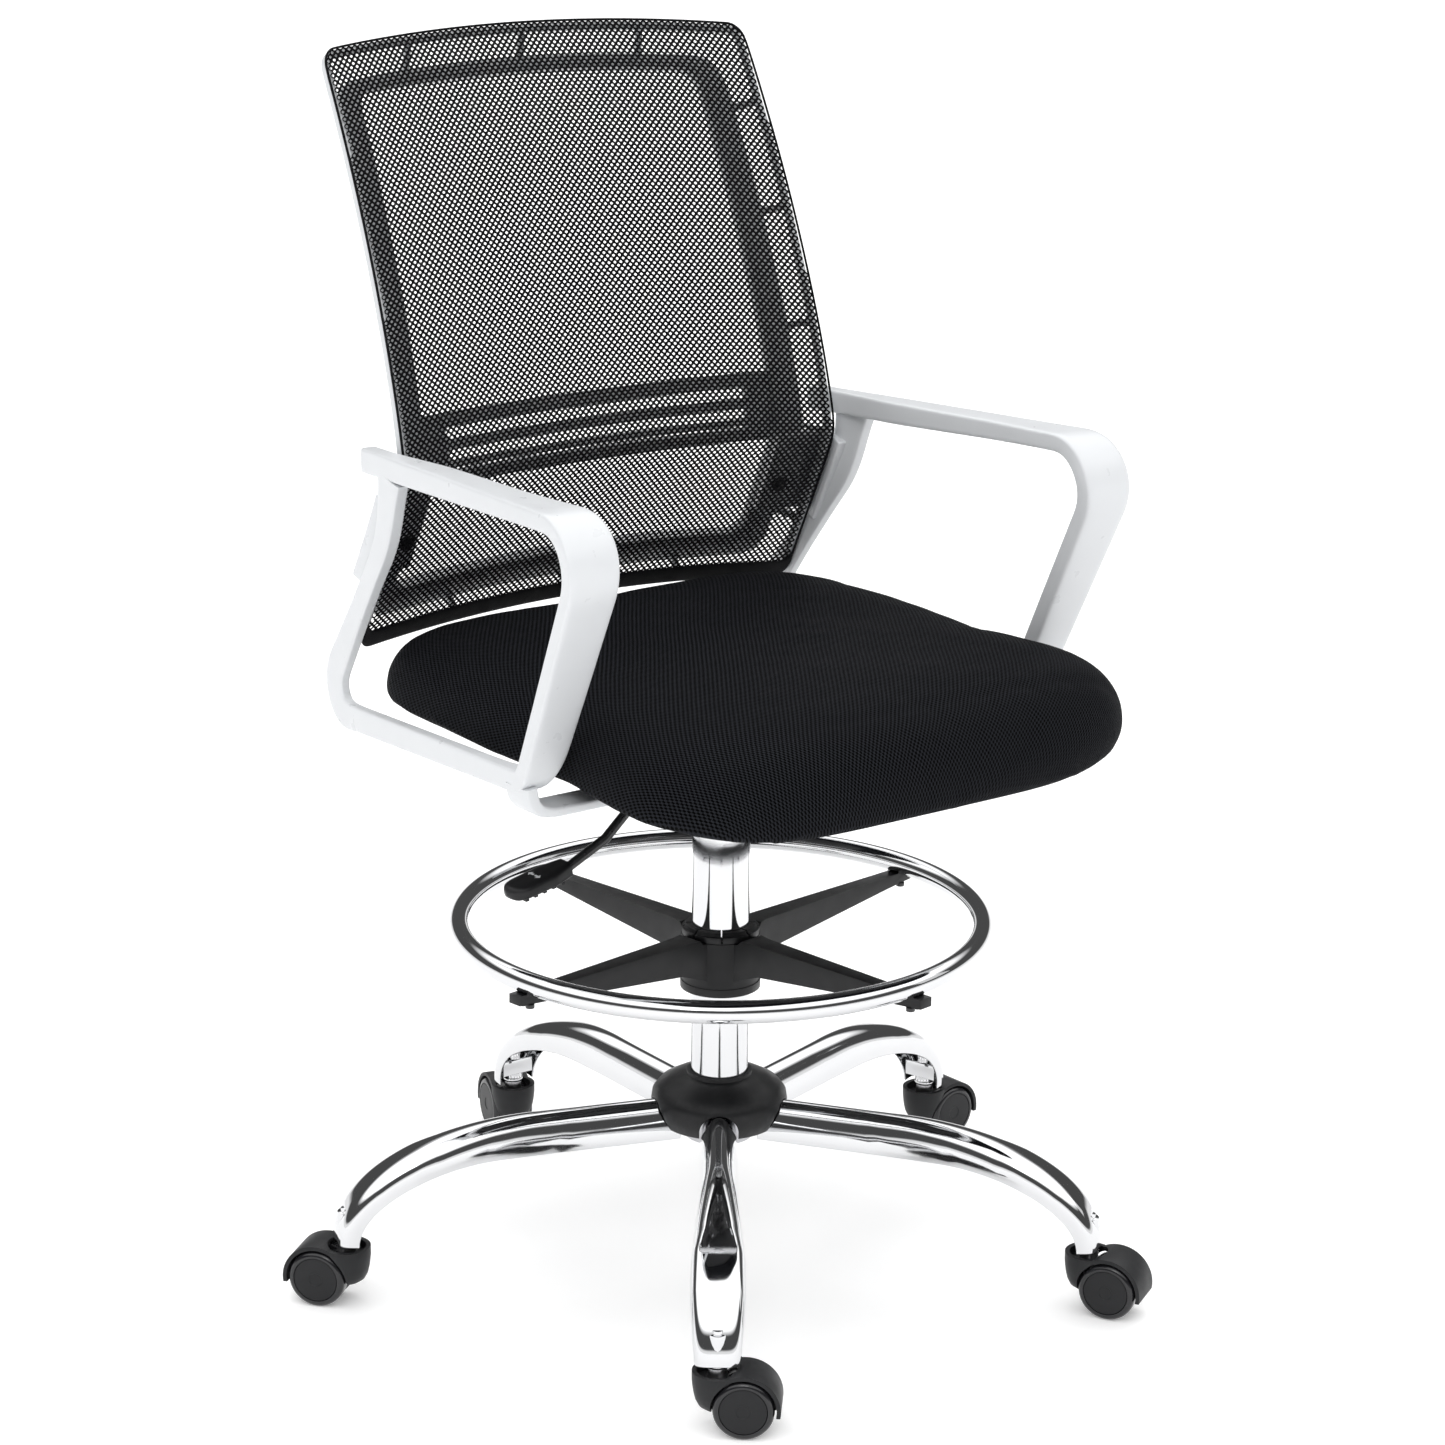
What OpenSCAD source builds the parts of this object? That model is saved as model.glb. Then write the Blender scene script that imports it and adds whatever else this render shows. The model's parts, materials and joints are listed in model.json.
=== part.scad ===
// Drafting chair: five-star base on twin-wheel casters, gas column, foot ring,
// upholstered seat, loop arms and a mesh back. Millimetres, +Z up, front towards -Y.
// The origin is on the column's axis at floor level.

/* [Star base] */
// Distance from the column's axis to each caster stem
base_radius = 334; // [320:1:340]
// Height of the flat top of the legs near the hub
leg_top_z = 154; // [152:1:157]
// Height of the open end of each leg
leg_end_z = 58; // [57:1:60]
// Turn of the first leg away from the seat's front
base_turn = 37; // [0:1:71]
// Width of a leg at its neck near the hub
leg_neck_w = 33; // [32:1:36]
// Width of a leg where it bends down
leg_wide_w = 45; // [42:1:48]
// Width of a leg at its end
leg_end_w = 38; // [36:1:40]
// Wall of the pressed legs
leg_wall = 2.2; // [1.8:0.1:2.4]

/* [Casters] */
// Diameter of a caster wheel
wheel_d = 50; // [49:1:51]
// Width of a caster wheel
wheel_w = 16; // [15:1:16]
// Distance from the stem's axis to the wheels' axle
caster_trail = 22; // [21:1:23]
// Diameter of a caster stem
stem_d = 11; // [10:1:11]
// Heading of each caster's wheels around its stem
caster_heading = [319, 299, 3, 75, 128];

/* [Column] */
// Outer diameter of the column tube
column_d = 50; // [50:1:52]
// Height of the column tube's top
column_top_z = 415; // [412:1:416]
// Diameter of the gas cylinder
cylinder_d = 28; // [27:1:29]
// Diameter of the piston rod
rod_d = 10; // [8:1:10]

/* [Foot ring] */
// Outer diameter of the foot ring
ring_d = 470; // [440:1:474]
// Diameter of the ring's tube
ring_tube_d = 19; // [18:1:20]
// Height of the ring's centre line
ring_z = 314; // [306:1:316]
// Diameter of the ring's hub
ring_hub_d = 68; // [64:1:72]
// Turn of the first spoke away from +X
ring_turn = 8; // [0:1:20]

/* [Seat] */
// Width of the cushion in front of the arms
seat_front_w = 520; // [512:1:524]
// Width of the cushion between the front posts of the arms
seat_waist_w = 475; // [472:1:476]
// Width of the cushion at its rear
seat_rear_w = 472; // [466:1:474]
// Distance from the column's axis to the cushion's front
seat_front_y = 288; // [282:1:290]
// Distance from the column's axis to the cushion's rear
seat_rear_y = 212; // [206:1:214]
// Height of the cushion's flat underside
seat_base_z = 501; // [500:1:502]
// Height of the cushion's crown
seat_crown_z = 560; // [555:1:562]

/* [Arms] */
// Distance from the middle plane to the arm's outer face at the column
arm_outer_x = 265; // [264.5:0.5:267]
// How much the arms spread outwards, per unit of length towards the front
arm_spread = 0.115; // [0.112:0.001:0.118]
// Width of the arm pad at its front
pad_w = 49; // [46:1:50]
// Height of the middle of the pad at its rear end
pad_z = 716; // [714:1:718]

/* [Back] */
// Half width of the mesh at its bottom edge
back_low_w = 231; // [228:1:232]
// Half width of the mesh at its top edge
back_high_w = 219; // [210:1:222]
// Height of the bottom corners of the mesh
back_low_z = 543; // [542:1:544]
// Height of the top corners of the mesh
back_high_z = 1044; // [1020:1:1046]
// Height of the lumbar bend
lumbar_z = 693; // [692:1:694]
// Distance of the lumbar bend behind the column's axis, at the mesh's edges
lumbar_y = 133; // [132:1:134]
// How far the middle of the mesh bows backwards
back_bow = 23; // [20:1:25]

/* [Hidden] */
$fn = 48;

CHROME = "gainsboro";
STEEL = "silver";
BLACK = "#26272b";
NYLON = "#2e2f34";
FABRIC = "#15161a";
WHITE = "whitesmoke";

GAP = 0.05;                 // running clearance on a radius
LEGS = 5;

// ---- helpers ----------------------------------------------------------------

function mix(a, b, t) = a + (b - a) * t;
function clamp01(t) = min(1, max(0, t));
function unit(v) = v / norm(v);
function signed_pow(v, p) = sign(v) * pow(abs(v), p);

// Closed skin over rings of equal length; loop joins the last ring to the first
module skin(rings, loop = false) {
    count = len(rings);
    size = len(rings[0]);
    spans = loop ? count : count - 1;
    points = [for (r = rings) each r];
    sides = [
        for (i = [0 : spans - 1], j = [0 : size - 1])
            let (
                a = i * size + j,
                b = i * size + (j + 1) % size,
                c = ((i + 1) % count) * size + (j + 1) % size,
                d = ((i + 1) % count) * size + j
            )
            each [[a, b, c], [a, c, d]]
    ];
    last = (count - 1) * size;
    // each end is closed by a ladder of triangles between the ring's two halves
    ends = loop ? [] : [
        for (j = [0 : size / 2 - 2])
            let (a = j, b = j + 1, c = size - 2 - j, d = size - 1 - j)
            each [[c, b, a], [d, c, a], [a, b, c] + last * [1, 1, 1], [a, c, d] + last * [1, 1, 1]]
    ];
    faces = concat(sides, ends);
    // faces are listed clockwise from outside, so their signed volume must be negative
    wound = signed_volume(points, faces) < 0
        ? faces
        : [for (f = faces) [for (k = [len(f) - 1 : -1 : 0]) f[k]]];
    polyhedron(points = points, faces = wound, convexity = 8);
}

function total(v) = v * [for (x = v) 1];
function signed_volume(points, faces) = total([
    for (f = faces, k = [1 : len(f) - 2])
        points[f[0]] * cross(points[f[k]], points[f[k + 1]])
]);

// Superellipse outline, half sizes a and b, exponent e
function rounded_outline(a, b, e, count) = [
    for (k = [0 : count - 1])
        let (t = 360 * k / count)
        [a * signed_pow(cos(t), 2 / e), b * signed_pow(sin(t), 2 / e)]
];

// One rounded corner of a path: [u, v, key] rows, where key runs from key - 0.2 to key + 0.2
function corner_points(p, q, r, radius, key, steps) =
    let (
        d1 = unit(p - q),
        d2 = unit(r - q),
        half = acos(max(-1, min(1, d1 * d2))) / 2,
        run = radius / tan(half),
        mid = unit(d1 + d2),
        centre = q + mid * radius / sin(half),
        start = q + d1 * run - centre,
        finish = q + d2 * run - centre,
        a0 = atan2(start[1], start[0]),
        turn = atan2(start[0] * finish[1] - start[1] * finish[0], start * finish)
    )
    [
        for (k = [0 : steps])
            let (a = a0 + turn * k / steps)
            [centre[0] + radius * cos(a), centre[1] + radius * sin(a), key - 0.2 + 0.4 * k / steps]
    ];

// ---- star base --------------------------------------------------------------

HUB_R = 30;
HUB_LOW_Z = 116;
HUB_HIGH_Z = 150;
STUB_W = 22;
STUB_LOW_Z = leg_top_z - 30;
STUB_HIGH_Z = leg_top_z - 9;
STUB_REACH = 122;
LEG_BOLT_RADII = [80, 106];
COLUMN_FOOT_Z = 118;
LEG_HEIGHT = 33;            // depth of a leg near the hub
LEG_END_DEPTH = 17;         // depth of a leg at its end

module on_leg(i) rotate([0, 0, -90 - base_turn + i * 360 / LEGS]) children();

// A leg's top edge and bottom edge, radius and height, t from 0 at the hub to 1 at its end
BEND_START = 0.35;
function leg_edge(t, start_r, end_r, high, low) = t < BEND_START
    ? [mix(40, start_r, t / BEND_START), high]
    : let (a = 90 * (t - BEND_START) / (1 - BEND_START))
        [start_r + (end_r - start_r) * sin(a), low + (high - low) * cos(a)];
function leg_top(t) =
    leg_edge(t, base_radius - 170, base_radius + 10, leg_top_z, leg_end_z);
function leg_low(t) =
    leg_edge(t, base_radius - 134, base_radius - 7, leg_top_z - LEG_HEIGHT, leg_end_z - 2);
function leg_width(t) = lookup(t, [
    [0, leg_neck_w], [0.25, leg_neck_w], [0.62, leg_wide_w], [0.75, leg_wide_w], [1, leg_end_w]
]);

// Half ring across a leg: an arch of the given width and height inset by the wall
function leg_arch(t, inset, count) =
    let (
        low = leg_low(t),
        high = leg_top(t),
        depth = norm(high - low) - inset,
        up = unit(high - low),
        w = leg_width(t) / 2 - inset
    )
    [
        for (k = [0 : count])
            let (
                a = 180 * k / count,
                x = w * signed_pow(cos(a), 0.72),
                h = depth * pow(sin(a), 0.72)
            )
            [low[0] + up[0] * h, x, low[1] + up[1] * h]
    ];

module leg(i) {
    stations = 24;
    arch_points = 10;
    color(CHROME) on_leg(i) skin([
        for (s = [0 : stations])
            let (
                t = s / stations,
                outer = leg_arch(t, 0, arch_points),
                inner = leg_arch(t, leg_wall, arch_points)
            )
            concat(outer, [for (k = [arch_points : -1 : 0]) inner[k]])
    ]);
}

// Steel core: a tube for the column and five tongues that lie inside the legs
module base_hub() {
    color(STEEL) difference() {
        union() {
            translate([0, 0, HUB_LOW_Z]) cylinder(r = HUB_R, h = HUB_HIGH_Z - HUB_LOW_Z);
            for (i = [0 : LEGS - 1])
                on_leg(i)
                    translate([0, -STUB_W / 2, STUB_LOW_Z])
                        cube([STUB_REACH, STUB_W, STUB_HIGH_Z - STUB_LOW_Z]);
        }
        translate([0, 0, HUB_LOW_Z - 1]) cylinder(d = column_d, h = HUB_HIGH_Z);
        for (i = [0 : LEGS - 1], r = LEG_BOLT_RADII)
            on_leg(i) translate([r, 0, STUB_LOW_Z - 1]) cylinder(r = 4.1, h = 40);
    }
}

NUT_PLATE_T = 4;
module leg_nut_plates() {
    color(STEEL) for (i = [0 : LEGS - 1])
        on_leg(i) difference() {
            translate([66, -7, STUB_HIGH_Z]) cube([54, 14, NUT_PLATE_T]);
            for (r = LEG_BOLT_RADII)
                translate([r, 0, STUB_HIGH_Z - 1]) cylinder(r = 4.02, h = 10);
        }
}

module leg_bolts() {
    color(BLACK) for (i = [0 : LEGS - 1], r = LEG_BOLT_RADII)
        on_leg(i) translate([r, 0, 0]) difference() {
            union() {
                translate([0, 0, STUB_LOW_Z - 5]) cylinder(r = 6.5, h = 5);
                translate([0, 0, STUB_LOW_Z - 1])
                    cylinder(r = 4, h = STUB_HIGH_Z - STUB_LOW_Z + NUT_PLATE_T);
            }
            translate([0, 0, STUB_LOW_Z - 6]) cylinder(r = 3, h = 4, $fn = 6);
        }
}

// Moulded cover over the hub, with an arch over each leg
COVER_LOW_Z = 130;
COVER_HIGH_Z = 176;
module hub_cover() {
    color(NYLON) difference() {
        rotate_extrude($fn = 64) polygon([
            [column_d / 2 + 0.2, COVER_HIGH_Z], [28.5, COVER_HIGH_Z], [28.5, COVER_HIGH_Z - 3],
            [33, COVER_HIGH_Z - 4], [42, COVER_HIGH_Z - 7], [53, COVER_HIGH_Z - 13],
            [58.5, COVER_HIGH_Z - 20], [59.5, COVER_HIGH_Z - 27], [57.5, COVER_HIGH_Z - 36],
            [52, COVER_LOW_Z], [49, COVER_LOW_Z], [54.5, COVER_HIGH_Z - 36],
            [56.5, COVER_HIGH_Z - 28], [55.5, COVER_HIGH_Z - 21], [50.5, COVER_HIGH_Z - 15],
            [40, COVER_HIGH_Z - 10], [31, COVER_HIGH_Z - 7], [column_d / 2 + 0.2, COVER_HIGH_Z - 6.5]
        ]);
        for (i = [0 : LEGS - 1]) on_leg(i) {
            leg_r = leg_neck_w / 2 + 0.4;
            translate([20, 0, leg_top_z - leg_r + 0.4]) rotate([0, 90, 0]) cylinder(r = leg_r, h = 60);
            translate([20, -leg_r, COVER_LOW_Z - 1])
                cube([60, 2 * leg_r, leg_top_z - leg_r + 1.4 - COVER_LOW_Z]);
        }
    }
}

// Turned sockets in the leg ends, each with a clip head above it
SOCKET_R = 9.5;
SOCKET_HIGH_Z = 84;
module caster_sockets() {
    color(CHROME) for (i = [0 : LEGS - 1])
        on_leg(i) translate([base_radius, 0, 0]) difference() {
            union() {
                translate([0, 0, leg_end_z - 2]) cylinder(r = SOCKET_R, h = 3);
                translate([0, 0, leg_end_z + 1])
                    cylinder(r1 = SOCKET_R - 0.5, r2 = 7.5, h = SOCKET_HIGH_Z - leg_end_z - 1);
                translate([0, 0, SOCKET_HIGH_Z]) cylinder(r = 4.5, h = 3);
                translate([-9, -leg_end_w / 2 + 3, leg_end_z + 6])
                    cube([3, leg_end_w - 6, 14]);
            }
            translate([0, 0, leg_end_z - 3]) cylinder(r = stem_d / 2 + GAP, h = 25);
        }
}

// ---- casters ----------------------------------------------------------------

AXLE_Z = wheel_d / 2;
AXLE_R = 3;
WHEEL_FACE = 3.6;           // gap from the caster's middle plane to a wheel
HOOD_HALF_W = 18.5;
HOOD_TOP_Z = 52;
HOOD_R = 20.5;
FENDER_R = wheel_d / 2 + 5;
STEM_FOOT_Z = 43.5;

// Places children at a caster: +X runs from the stem to the axle
module on_caster(i)
    on_leg(i) translate([base_radius, 0, 0])
        rotate([0, 0, 90 + base_turn - i * 360 / LEGS + caster_heading[i]]) children();

module on_axle() translate([caster_trail, 0, AXLE_Z]) rotate([-90, 0, 0]) children();

module caster_stem(i) {
    color(STEEL) on_caster(i) {
        translate([0, 0, STEM_FOOT_Z]) cylinder(d = stem_d, h = leg_end_z + 12 - STEM_FOOT_Z);
        translate([0, 0, HOOD_TOP_Z - 5]) cylinder(r = 8, h = leg_end_z - 2 - HOOD_TOP_Z + 5);
    }
}

module caster_hood(i) {
    color(NYLON) on_caster(i) difference() {
        union() {
            translate([0, 0, 19]) cylinder(r = HOOD_R, h = HOOD_TOP_Z - 19);
            intersection() {
                on_axle() cylinder(r = FENDER_R, h = 2 * HOOD_HALF_W, center = true);
                translate([0, -30, AXLE_Z - 5]) cube([80, 60, 60]);
            }
            on_axle() cylinder(r = 12, h = 6, center = true);
        }
        for (side = [-1, 1])
            on_axle() translate([0, 0, side * (3 + 20)])
                cylinder(r = wheel_d / 2 + 1.6, h = 40, center = true);
        // the fender's inner space between the wheels and in front of the tip
        translate([caster_trail + 14, -30, 0]) cube([10.5, 60, AXLE_Z + 8]);
        on_axle() cylinder(r = AXLE_R, h = 80, center = true);
        // recess with a pivot boss around the stem
        difference() {
            translate([0, 0, HOOD_TOP_Z - 7]) cylinder(r = 16.5, h = 20);
            translate([0, 0, HOOD_TOP_Z - 8]) cylinder(r = 9.5, h = 2.8);
        }
        translate([0, 0, STEM_FOOT_Z - 1]) cylinder(r = stem_d / 2 + GAP, h = 30);
    }
}

module caster_axle(i) {
    color(STEEL) on_caster(i) on_axle() cylinder(r = AXLE_R, h = 30, center = true);
}

module caster_wheel(i, side) {
    color(BLACK) on_caster(i) on_axle() mirror([0, 0, side > 0 ? 0 : 1]) rotate_extrude($fn = 64)
        polygon([
            [AXLE_R + GAP, WHEEL_FACE], [wheel_d / 2 - 2, WHEEL_FACE],
            [wheel_d / 2 - 0.5, WHEEL_FACE + 0.6], [wheel_d / 2, WHEEL_FACE + 2],
            [wheel_d / 2, WHEEL_FACE + wheel_w - 5], [wheel_d / 2 - 0.7, WHEEL_FACE + wheel_w - 2.6],
            [wheel_d / 2 - 2.6, WHEEL_FACE + wheel_w - 0.8], [wheel_d / 2 - 5, WHEEL_FACE + wheel_w],
            [0, WHEEL_FACE + wheel_w], [0, WHEEL_FACE + wheel_w - 3],
            [AXLE_R + GAP, WHEEL_FACE + wheel_w - 3]
        ]);
}

// ---- gas column -------------------------------------------------------------

COLUMN_R = column_d / 2;
BORE_R = COLUMN_R - 2;
CYLINDER_R = cylinder_d / 2;
CYLINDER_LOW_Z = 146;
CONE_LOW_Z = 424;
CONE_HIGH_Z = 447;
ROD_R = rod_d / 2;
PISTON_Z = 398;

module outer_column() {
    color(CHROME) difference() {
        translate([0, 0, COLUMN_FOOT_Z]) cylinder(r = COLUMN_R, h = column_top_z - COLUMN_FOOT_Z);
        translate([0, 0, COLUMN_FOOT_Z + 4]) cylinder(r = BORE_R, h = column_top_z);
        translate([0, 0, COLUMN_FOOT_Z - 1]) cylinder(r = ROD_R + 0.3, h = 10);
    }
}

module guide_bush() {
    color(BLACK) difference() {
        union() {
            translate([0, 0, column_top_z - 75]) cylinder(r = BORE_R, h = 75);
            translate([0, 0, column_top_z]) cylinder(r = COLUMN_R, h = 3);
        }
        translate([0, 0, column_top_z - 76]) cylinder(r = CYLINDER_R + GAP, h = 90);
    }
}

module thrust_bearing() {
    color(STEEL) translate([0, 0, COLUMN_FOOT_Z + 4]) difference() {
        cylinder(r = 14, h = 6);
        translate([0, 0, -1]) cylinder(r = ROD_R + 0.3, h = 10);
        translate([0, 0, 3]) rotate_extrude() translate([14.6, 0]) circle(r = 1.6);
    }
}

module piston_rod() {
    color(STEEL) {
        translate([0, 0, COLUMN_FOOT_Z - 8]) cylinder(r = ROD_R, h = PISTON_Z - COLUMN_FOOT_Z + 8);
        translate([0, 0, COLUMN_FOOT_Z + 10]) cylinder(r = 11, h = 5);
        translate([0, 0, PISTON_Z]) cylinder(r = CYLINDER_R - 2.5 - GAP, h = 10);
    }
}

module retaining_clip() {
    color(STEEL) translate([0, 0, COLUMN_FOOT_Z - 1.7]) difference() {
        cylinder(r = 9, h = 1.5);
        translate([0, 0, -1]) cylinder(r = ROD_R, h = 4);
    }
}

module gas_cylinder() {
    color(BLACK) difference() {
        union() {
            translate([0, 0, CYLINDER_LOW_Z])
                cylinder(r = CYLINDER_R, h = CONE_LOW_Z - CYLINDER_LOW_Z);
            translate([0, 0, CONE_LOW_Z])
                cylinder(r1 = CYLINDER_R, r2 = CYLINDER_R - 1, h = CONE_HIGH_Z - CONE_LOW_Z);
        }
        translate([0, 0, CYLINDER_LOW_Z + 14])
            cylinder(r = CYLINDER_R - 2.5, h = CONE_LOW_Z - CYLINDER_LOW_Z - 14);
        translate([0, 0, CYLINDER_LOW_Z - 1]) cylinder(r = ROD_R + GAP, h = 20);
        translate([0, 0, CONE_HIGH_Z - 12]) cylinder(r = 3.5 + GAP, h = 20);
    }
}

BUTTON_TOP_Z = CONE_HIGH_Z + 3.5;
module release_button() {
    color(STEEL) translate([0, 0, CONE_HIGH_Z - 7])
        cylinder(r = 3.5, h = BUTTON_TOP_Z - CONE_HIGH_Z + 7);
}

// ---- foot ring --------------------------------------------------------------

RING_R = (ring_d - ring_tube_d) / 2;
HUB_OUT_R = ring_hub_d / 2;
SPOKE_TOP_Z = ring_z - ring_tube_d / 2 + 1;
SPOKES = 4;
COLLET_R = 29.5;
COLLET_LOW_Z = ring_z - 56;
RING_HUB_LOW_Z = ring_z - 60;
RING_HUB_HIGH_Z = ring_z - 12;

module on_spoke(k) rotate([0, 0, ring_turn + 90 * k]) children();

// Split sleeve that grips the column, with a wide head above the hub
module ring_collet() {
    color(BLACK) difference() {
        union() {
            translate([0, 0, COLLET_LOW_Z]) cylinder(r = COLLET_R, h = RING_HUB_HIGH_Z - COLLET_LOW_Z + 1);
            translate([0, 0, RING_HUB_HIGH_Z + 0.4]) cylinder(r = HUB_OUT_R - 0.5, h = 5.6);
            translate([0, 0, RING_HUB_HIGH_Z + 6]) cylinder(r1 = 31.5, r2 = 30, h = 3);
        }
        translate([0, 0, COLLET_LOW_Z - 1]) cylinder(r = COLUMN_R + GAP, h = 80);
        for (k = [0 : 7]) rotate([0, 0, 45 * k + 10])
            translate([COLUMN_R - 1, -0.8, RING_HUB_HIGH_Z + 1.2]) cube([14, 1.6, 30]);
    }
}

// Hub with four tapered box spokes; the ring rests in a cradle at each tip
module ring_hub() {
    root_w = 10.5;
    tip_w = 6.5;
    spoke_end = RING_R + 13;
    color(NYLON) difference() {
        union() {
            translate([0, 0, RING_HUB_LOW_Z])
                cylinder(r = HUB_OUT_R, h = RING_HUB_HIGH_Z - RING_HUB_LOW_Z);
            translate([0, 0, RING_HUB_LOW_Z]) cylinder(r = HUB_OUT_R + 0.8, h = 7);
            for (k = [0 : SPOKES - 1]) on_spoke(k) intersection() {
                rotate([90, 0, 0]) translate([0, 0, -20]) linear_extrude(40) polygon([
                    [HUB_OUT_R - 3, RING_HUB_HIGH_Z], [HUB_OUT_R, RING_HUB_HIGH_Z],
                    [HUB_OUT_R + 3, SPOKE_TOP_Z], [spoke_end, SPOKE_TOP_Z],
                    [spoke_end, SPOKE_TOP_Z - 8], [RING_R - 16, SPOKE_TOP_Z - 11],
                    [HUB_OUT_R + 22, SPOKE_TOP_Z - 28], [HUB_OUT_R - 3, SPOKE_TOP_Z - 37]
                ]);
                linear_extrude(ring_z) polygon([
                    [HUB_OUT_R - 3, -root_w - 4], [HUB_OUT_R + 12, -root_w],
                    [RING_R - 20, -tip_w], [spoke_end, -tip_w],
                    [spoke_end, tip_w], [RING_R - 20, tip_w],
                    [HUB_OUT_R + 12, root_w], [HUB_OUT_R - 3, root_w + 4]
                ]);
            }
        }
        translate([0, 0, RING_HUB_LOW_Z - 1]) cylinder(r = COLLET_R + 2 * GAP, h = 80);
        translate([0, 0, ring_z]) rotate_extrude($fn = 96)
            translate([RING_R, 0]) circle(d = ring_tube_d);
        for (k = [0 : SPOKES - 1], side = [-1, 1])
            on_spoke(k) translate([RING_R, side * 4.4, SPOKE_TOP_Z - 20]) cylinder(r = 2, h = 30);
    }
}

module foot_ring() {
    color(CHROME) difference() {
        translate([0, 0, ring_z]) rotate_extrude($fn = 96)
            translate([RING_R, 0]) circle(d = ring_tube_d);
        translate([0, 0, ring_z]) rotate_extrude($fn = 96)
            translate([RING_R, 0]) circle(d = ring_tube_d - 3);
        for (k = [0 : SPOKES - 1], side = [-1, 1])
            on_spoke(k) translate([RING_R, side * 4.4, SPOKE_TOP_Z - 20]) cylinder(r = 2, h = 22);
    }
}

module ring_screws() {
    color(BLACK) for (k = [0 : SPOKES - 1], side = [-1, 1])
        on_spoke(k) translate([RING_R, side * 4.4, 0]) {
            translate([0, 0, SPOKE_TOP_Z - 13]) cylinder(r = 3.8, h = 3.5);
            translate([0, 0, SPOKE_TOP_Z - 10]) cylinder(r = 2, h = 12.5);
        }
}

// ---- seat -------------------------------------------------------------------

PAN_T = 12;
PAN_LOW_Z = seat_base_z - PAN_T;
LEVER_Y = -20;
LEVER_PIVOT = [-24, LEVER_Y, CONE_HIGH_Z + 1];
LEVER_R = 4.2;

// Half width of the cushion's plan by y, drawn in between the front posts of the arms
function seat_half(y) = lookup(y, [
    [-220, seat_front_w / 2], [-108, seat_waist_w / 2], [-92, seat_waist_w / 2],
    [-10, seat_waist_w / 2 + 3],
    [100, seat_waist_w / 2], [seat_rear_y, seat_rear_w / 2]
]);

// Plan of the cushion at a share s of its size, as [x, y, lip] with lip 1 at the front edge
function seat_plan(s, count) = [
    for (k = [0 : count - 1])
        let (
            t = 360 * k / count,
            e = sin(t) < 0 ? 4.9 : 6.5,
            px = signed_pow(cos(t), 2 / e),
            py = signed_pow(sin(t), 2 / e),
            y = (py < 0 ? seat_front_y : seat_rear_y) * py
        )
        [s * seat_half(y) * px, s * y, pow(max(0, -py), 6)]
];

SEAT_LIP = 26;              // how far the front lip hangs below the flat underside
SEAT_EDGE_Z = seat_base_z + 11;
module seat_cushion() {
    points = 56;
    rise = seat_crown_z - SEAT_EDGE_Z;
    // share of the plan, height and share of the lip's drop, from the underside to the crown
    layers = [
        [0.84, seat_base_z, 0], [0.91, seat_base_z, 0.75], [0.965, seat_base_z + 1.5, 1],
        [0.99, seat_base_z + 5, 0.85], [1, SEAT_EDGE_Z, 0.35], [0.992, SEAT_EDGE_Z + rise * 0.3, 0.1],
        [0.975, SEAT_EDGE_Z + rise * 0.5, 0], [0.94, SEAT_EDGE_Z + rise * 0.7, 0],
        [0.87, SEAT_EDGE_Z + rise * 0.86, 0], [0.75, SEAT_EDGE_Z + rise * 0.95, 0],
        [0.5, SEAT_EDGE_Z + rise * 0.99, 0], [0.25, seat_crown_z, 0]
    ];
    color(FABRIC) skin([
        for (l = layers) [for (p = seat_plan(l[0], points)) [p[0], p[1], l[1] - SEAT_LIP * l[2] * p[2]]]
    ]);
}

module seat_pan() {
    color(BLACK) difference() {
        translate([0, 0, PAN_LOW_Z]) linear_extrude(PAN_T - 0.3)
            polygon([for (p = seat_plan(0.71, 56)) [p[0] * 1.17, p[1]]]);
        for (p = seat_bolt_places()) translate([p[0], p[1], PAN_LOW_Z - 1]) cylinder(r = 3.2, h = 9);
        for (s = [-1, 1], p = arm_bolt_places())
            translate([s * p[0], p[1], PAN_LOW_Z - 1]) cylinder(r = 3.2, h = 9);
    }
}

MECH_PLATE = [190, 150, 3.5];
MECH_BOX = [96, 66, PAN_LOW_Z - 424];
function seat_bolt_places() = [for (sx = [-1, 1], sy = [-1, 1]) [sx * 80, sy * 60]];

// Pressed plate and housing on the cone of the gas cylinder
module seat_mechanism() {
    color(BLACK) difference() {
        union() {
            translate([-MECH_PLATE[0] / 2, -MECH_PLATE[1] / 2, PAN_LOW_Z - MECH_PLATE[2]])
                cube(MECH_PLATE);
            translate([-MECH_BOX[0] / 2, -MECH_BOX[1] / 2, 424]) cube(MECH_BOX);
        }
        // hollow inside the housing, open over the cone
        difference() {
            translate([-MECH_BOX[0] / 2 + 3, -MECH_BOX[1] / 2 + 3, 427])
                cube([MECH_BOX[0] - 6, MECH_BOX[1] - 6, MECH_BOX[2] - 3 - MECH_PLATE[2]]);
            translate([0, 0, 420]) cylinder(r = 20, h = 60);
        }
        translate([0, 0, CONE_LOW_Z])
            cylinder(r1 = CYLINDER_R, r2 = CYLINDER_R - 1, h = CONE_HIGH_Z - CONE_LOW_Z);
        translate([0, 0, CONE_HIGH_Z - 1]) cylinder(r = 21, h = PAN_LOW_Z - MECH_PLATE[2] - CONE_HIGH_Z + 1);
        // slot for the lever and bore for its pivot
        translate([-60, LEVER_Y - 5.5, 436]) cube([46, 11, PAN_LOW_Z - MECH_PLATE[2] - 436]);
        translate([LEVER_PIVOT[0], 0, LEVER_PIVOT[2]]) rotate([90, 0, 0])
            cylinder(r = 2.5 + GAP, h = 90, center = true);
        for (p = seat_bolt_places())
            translate([p[0], p[1], PAN_LOW_Z - 6]) cylinder(r = 3.2, h = 8);
    }
}

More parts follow.
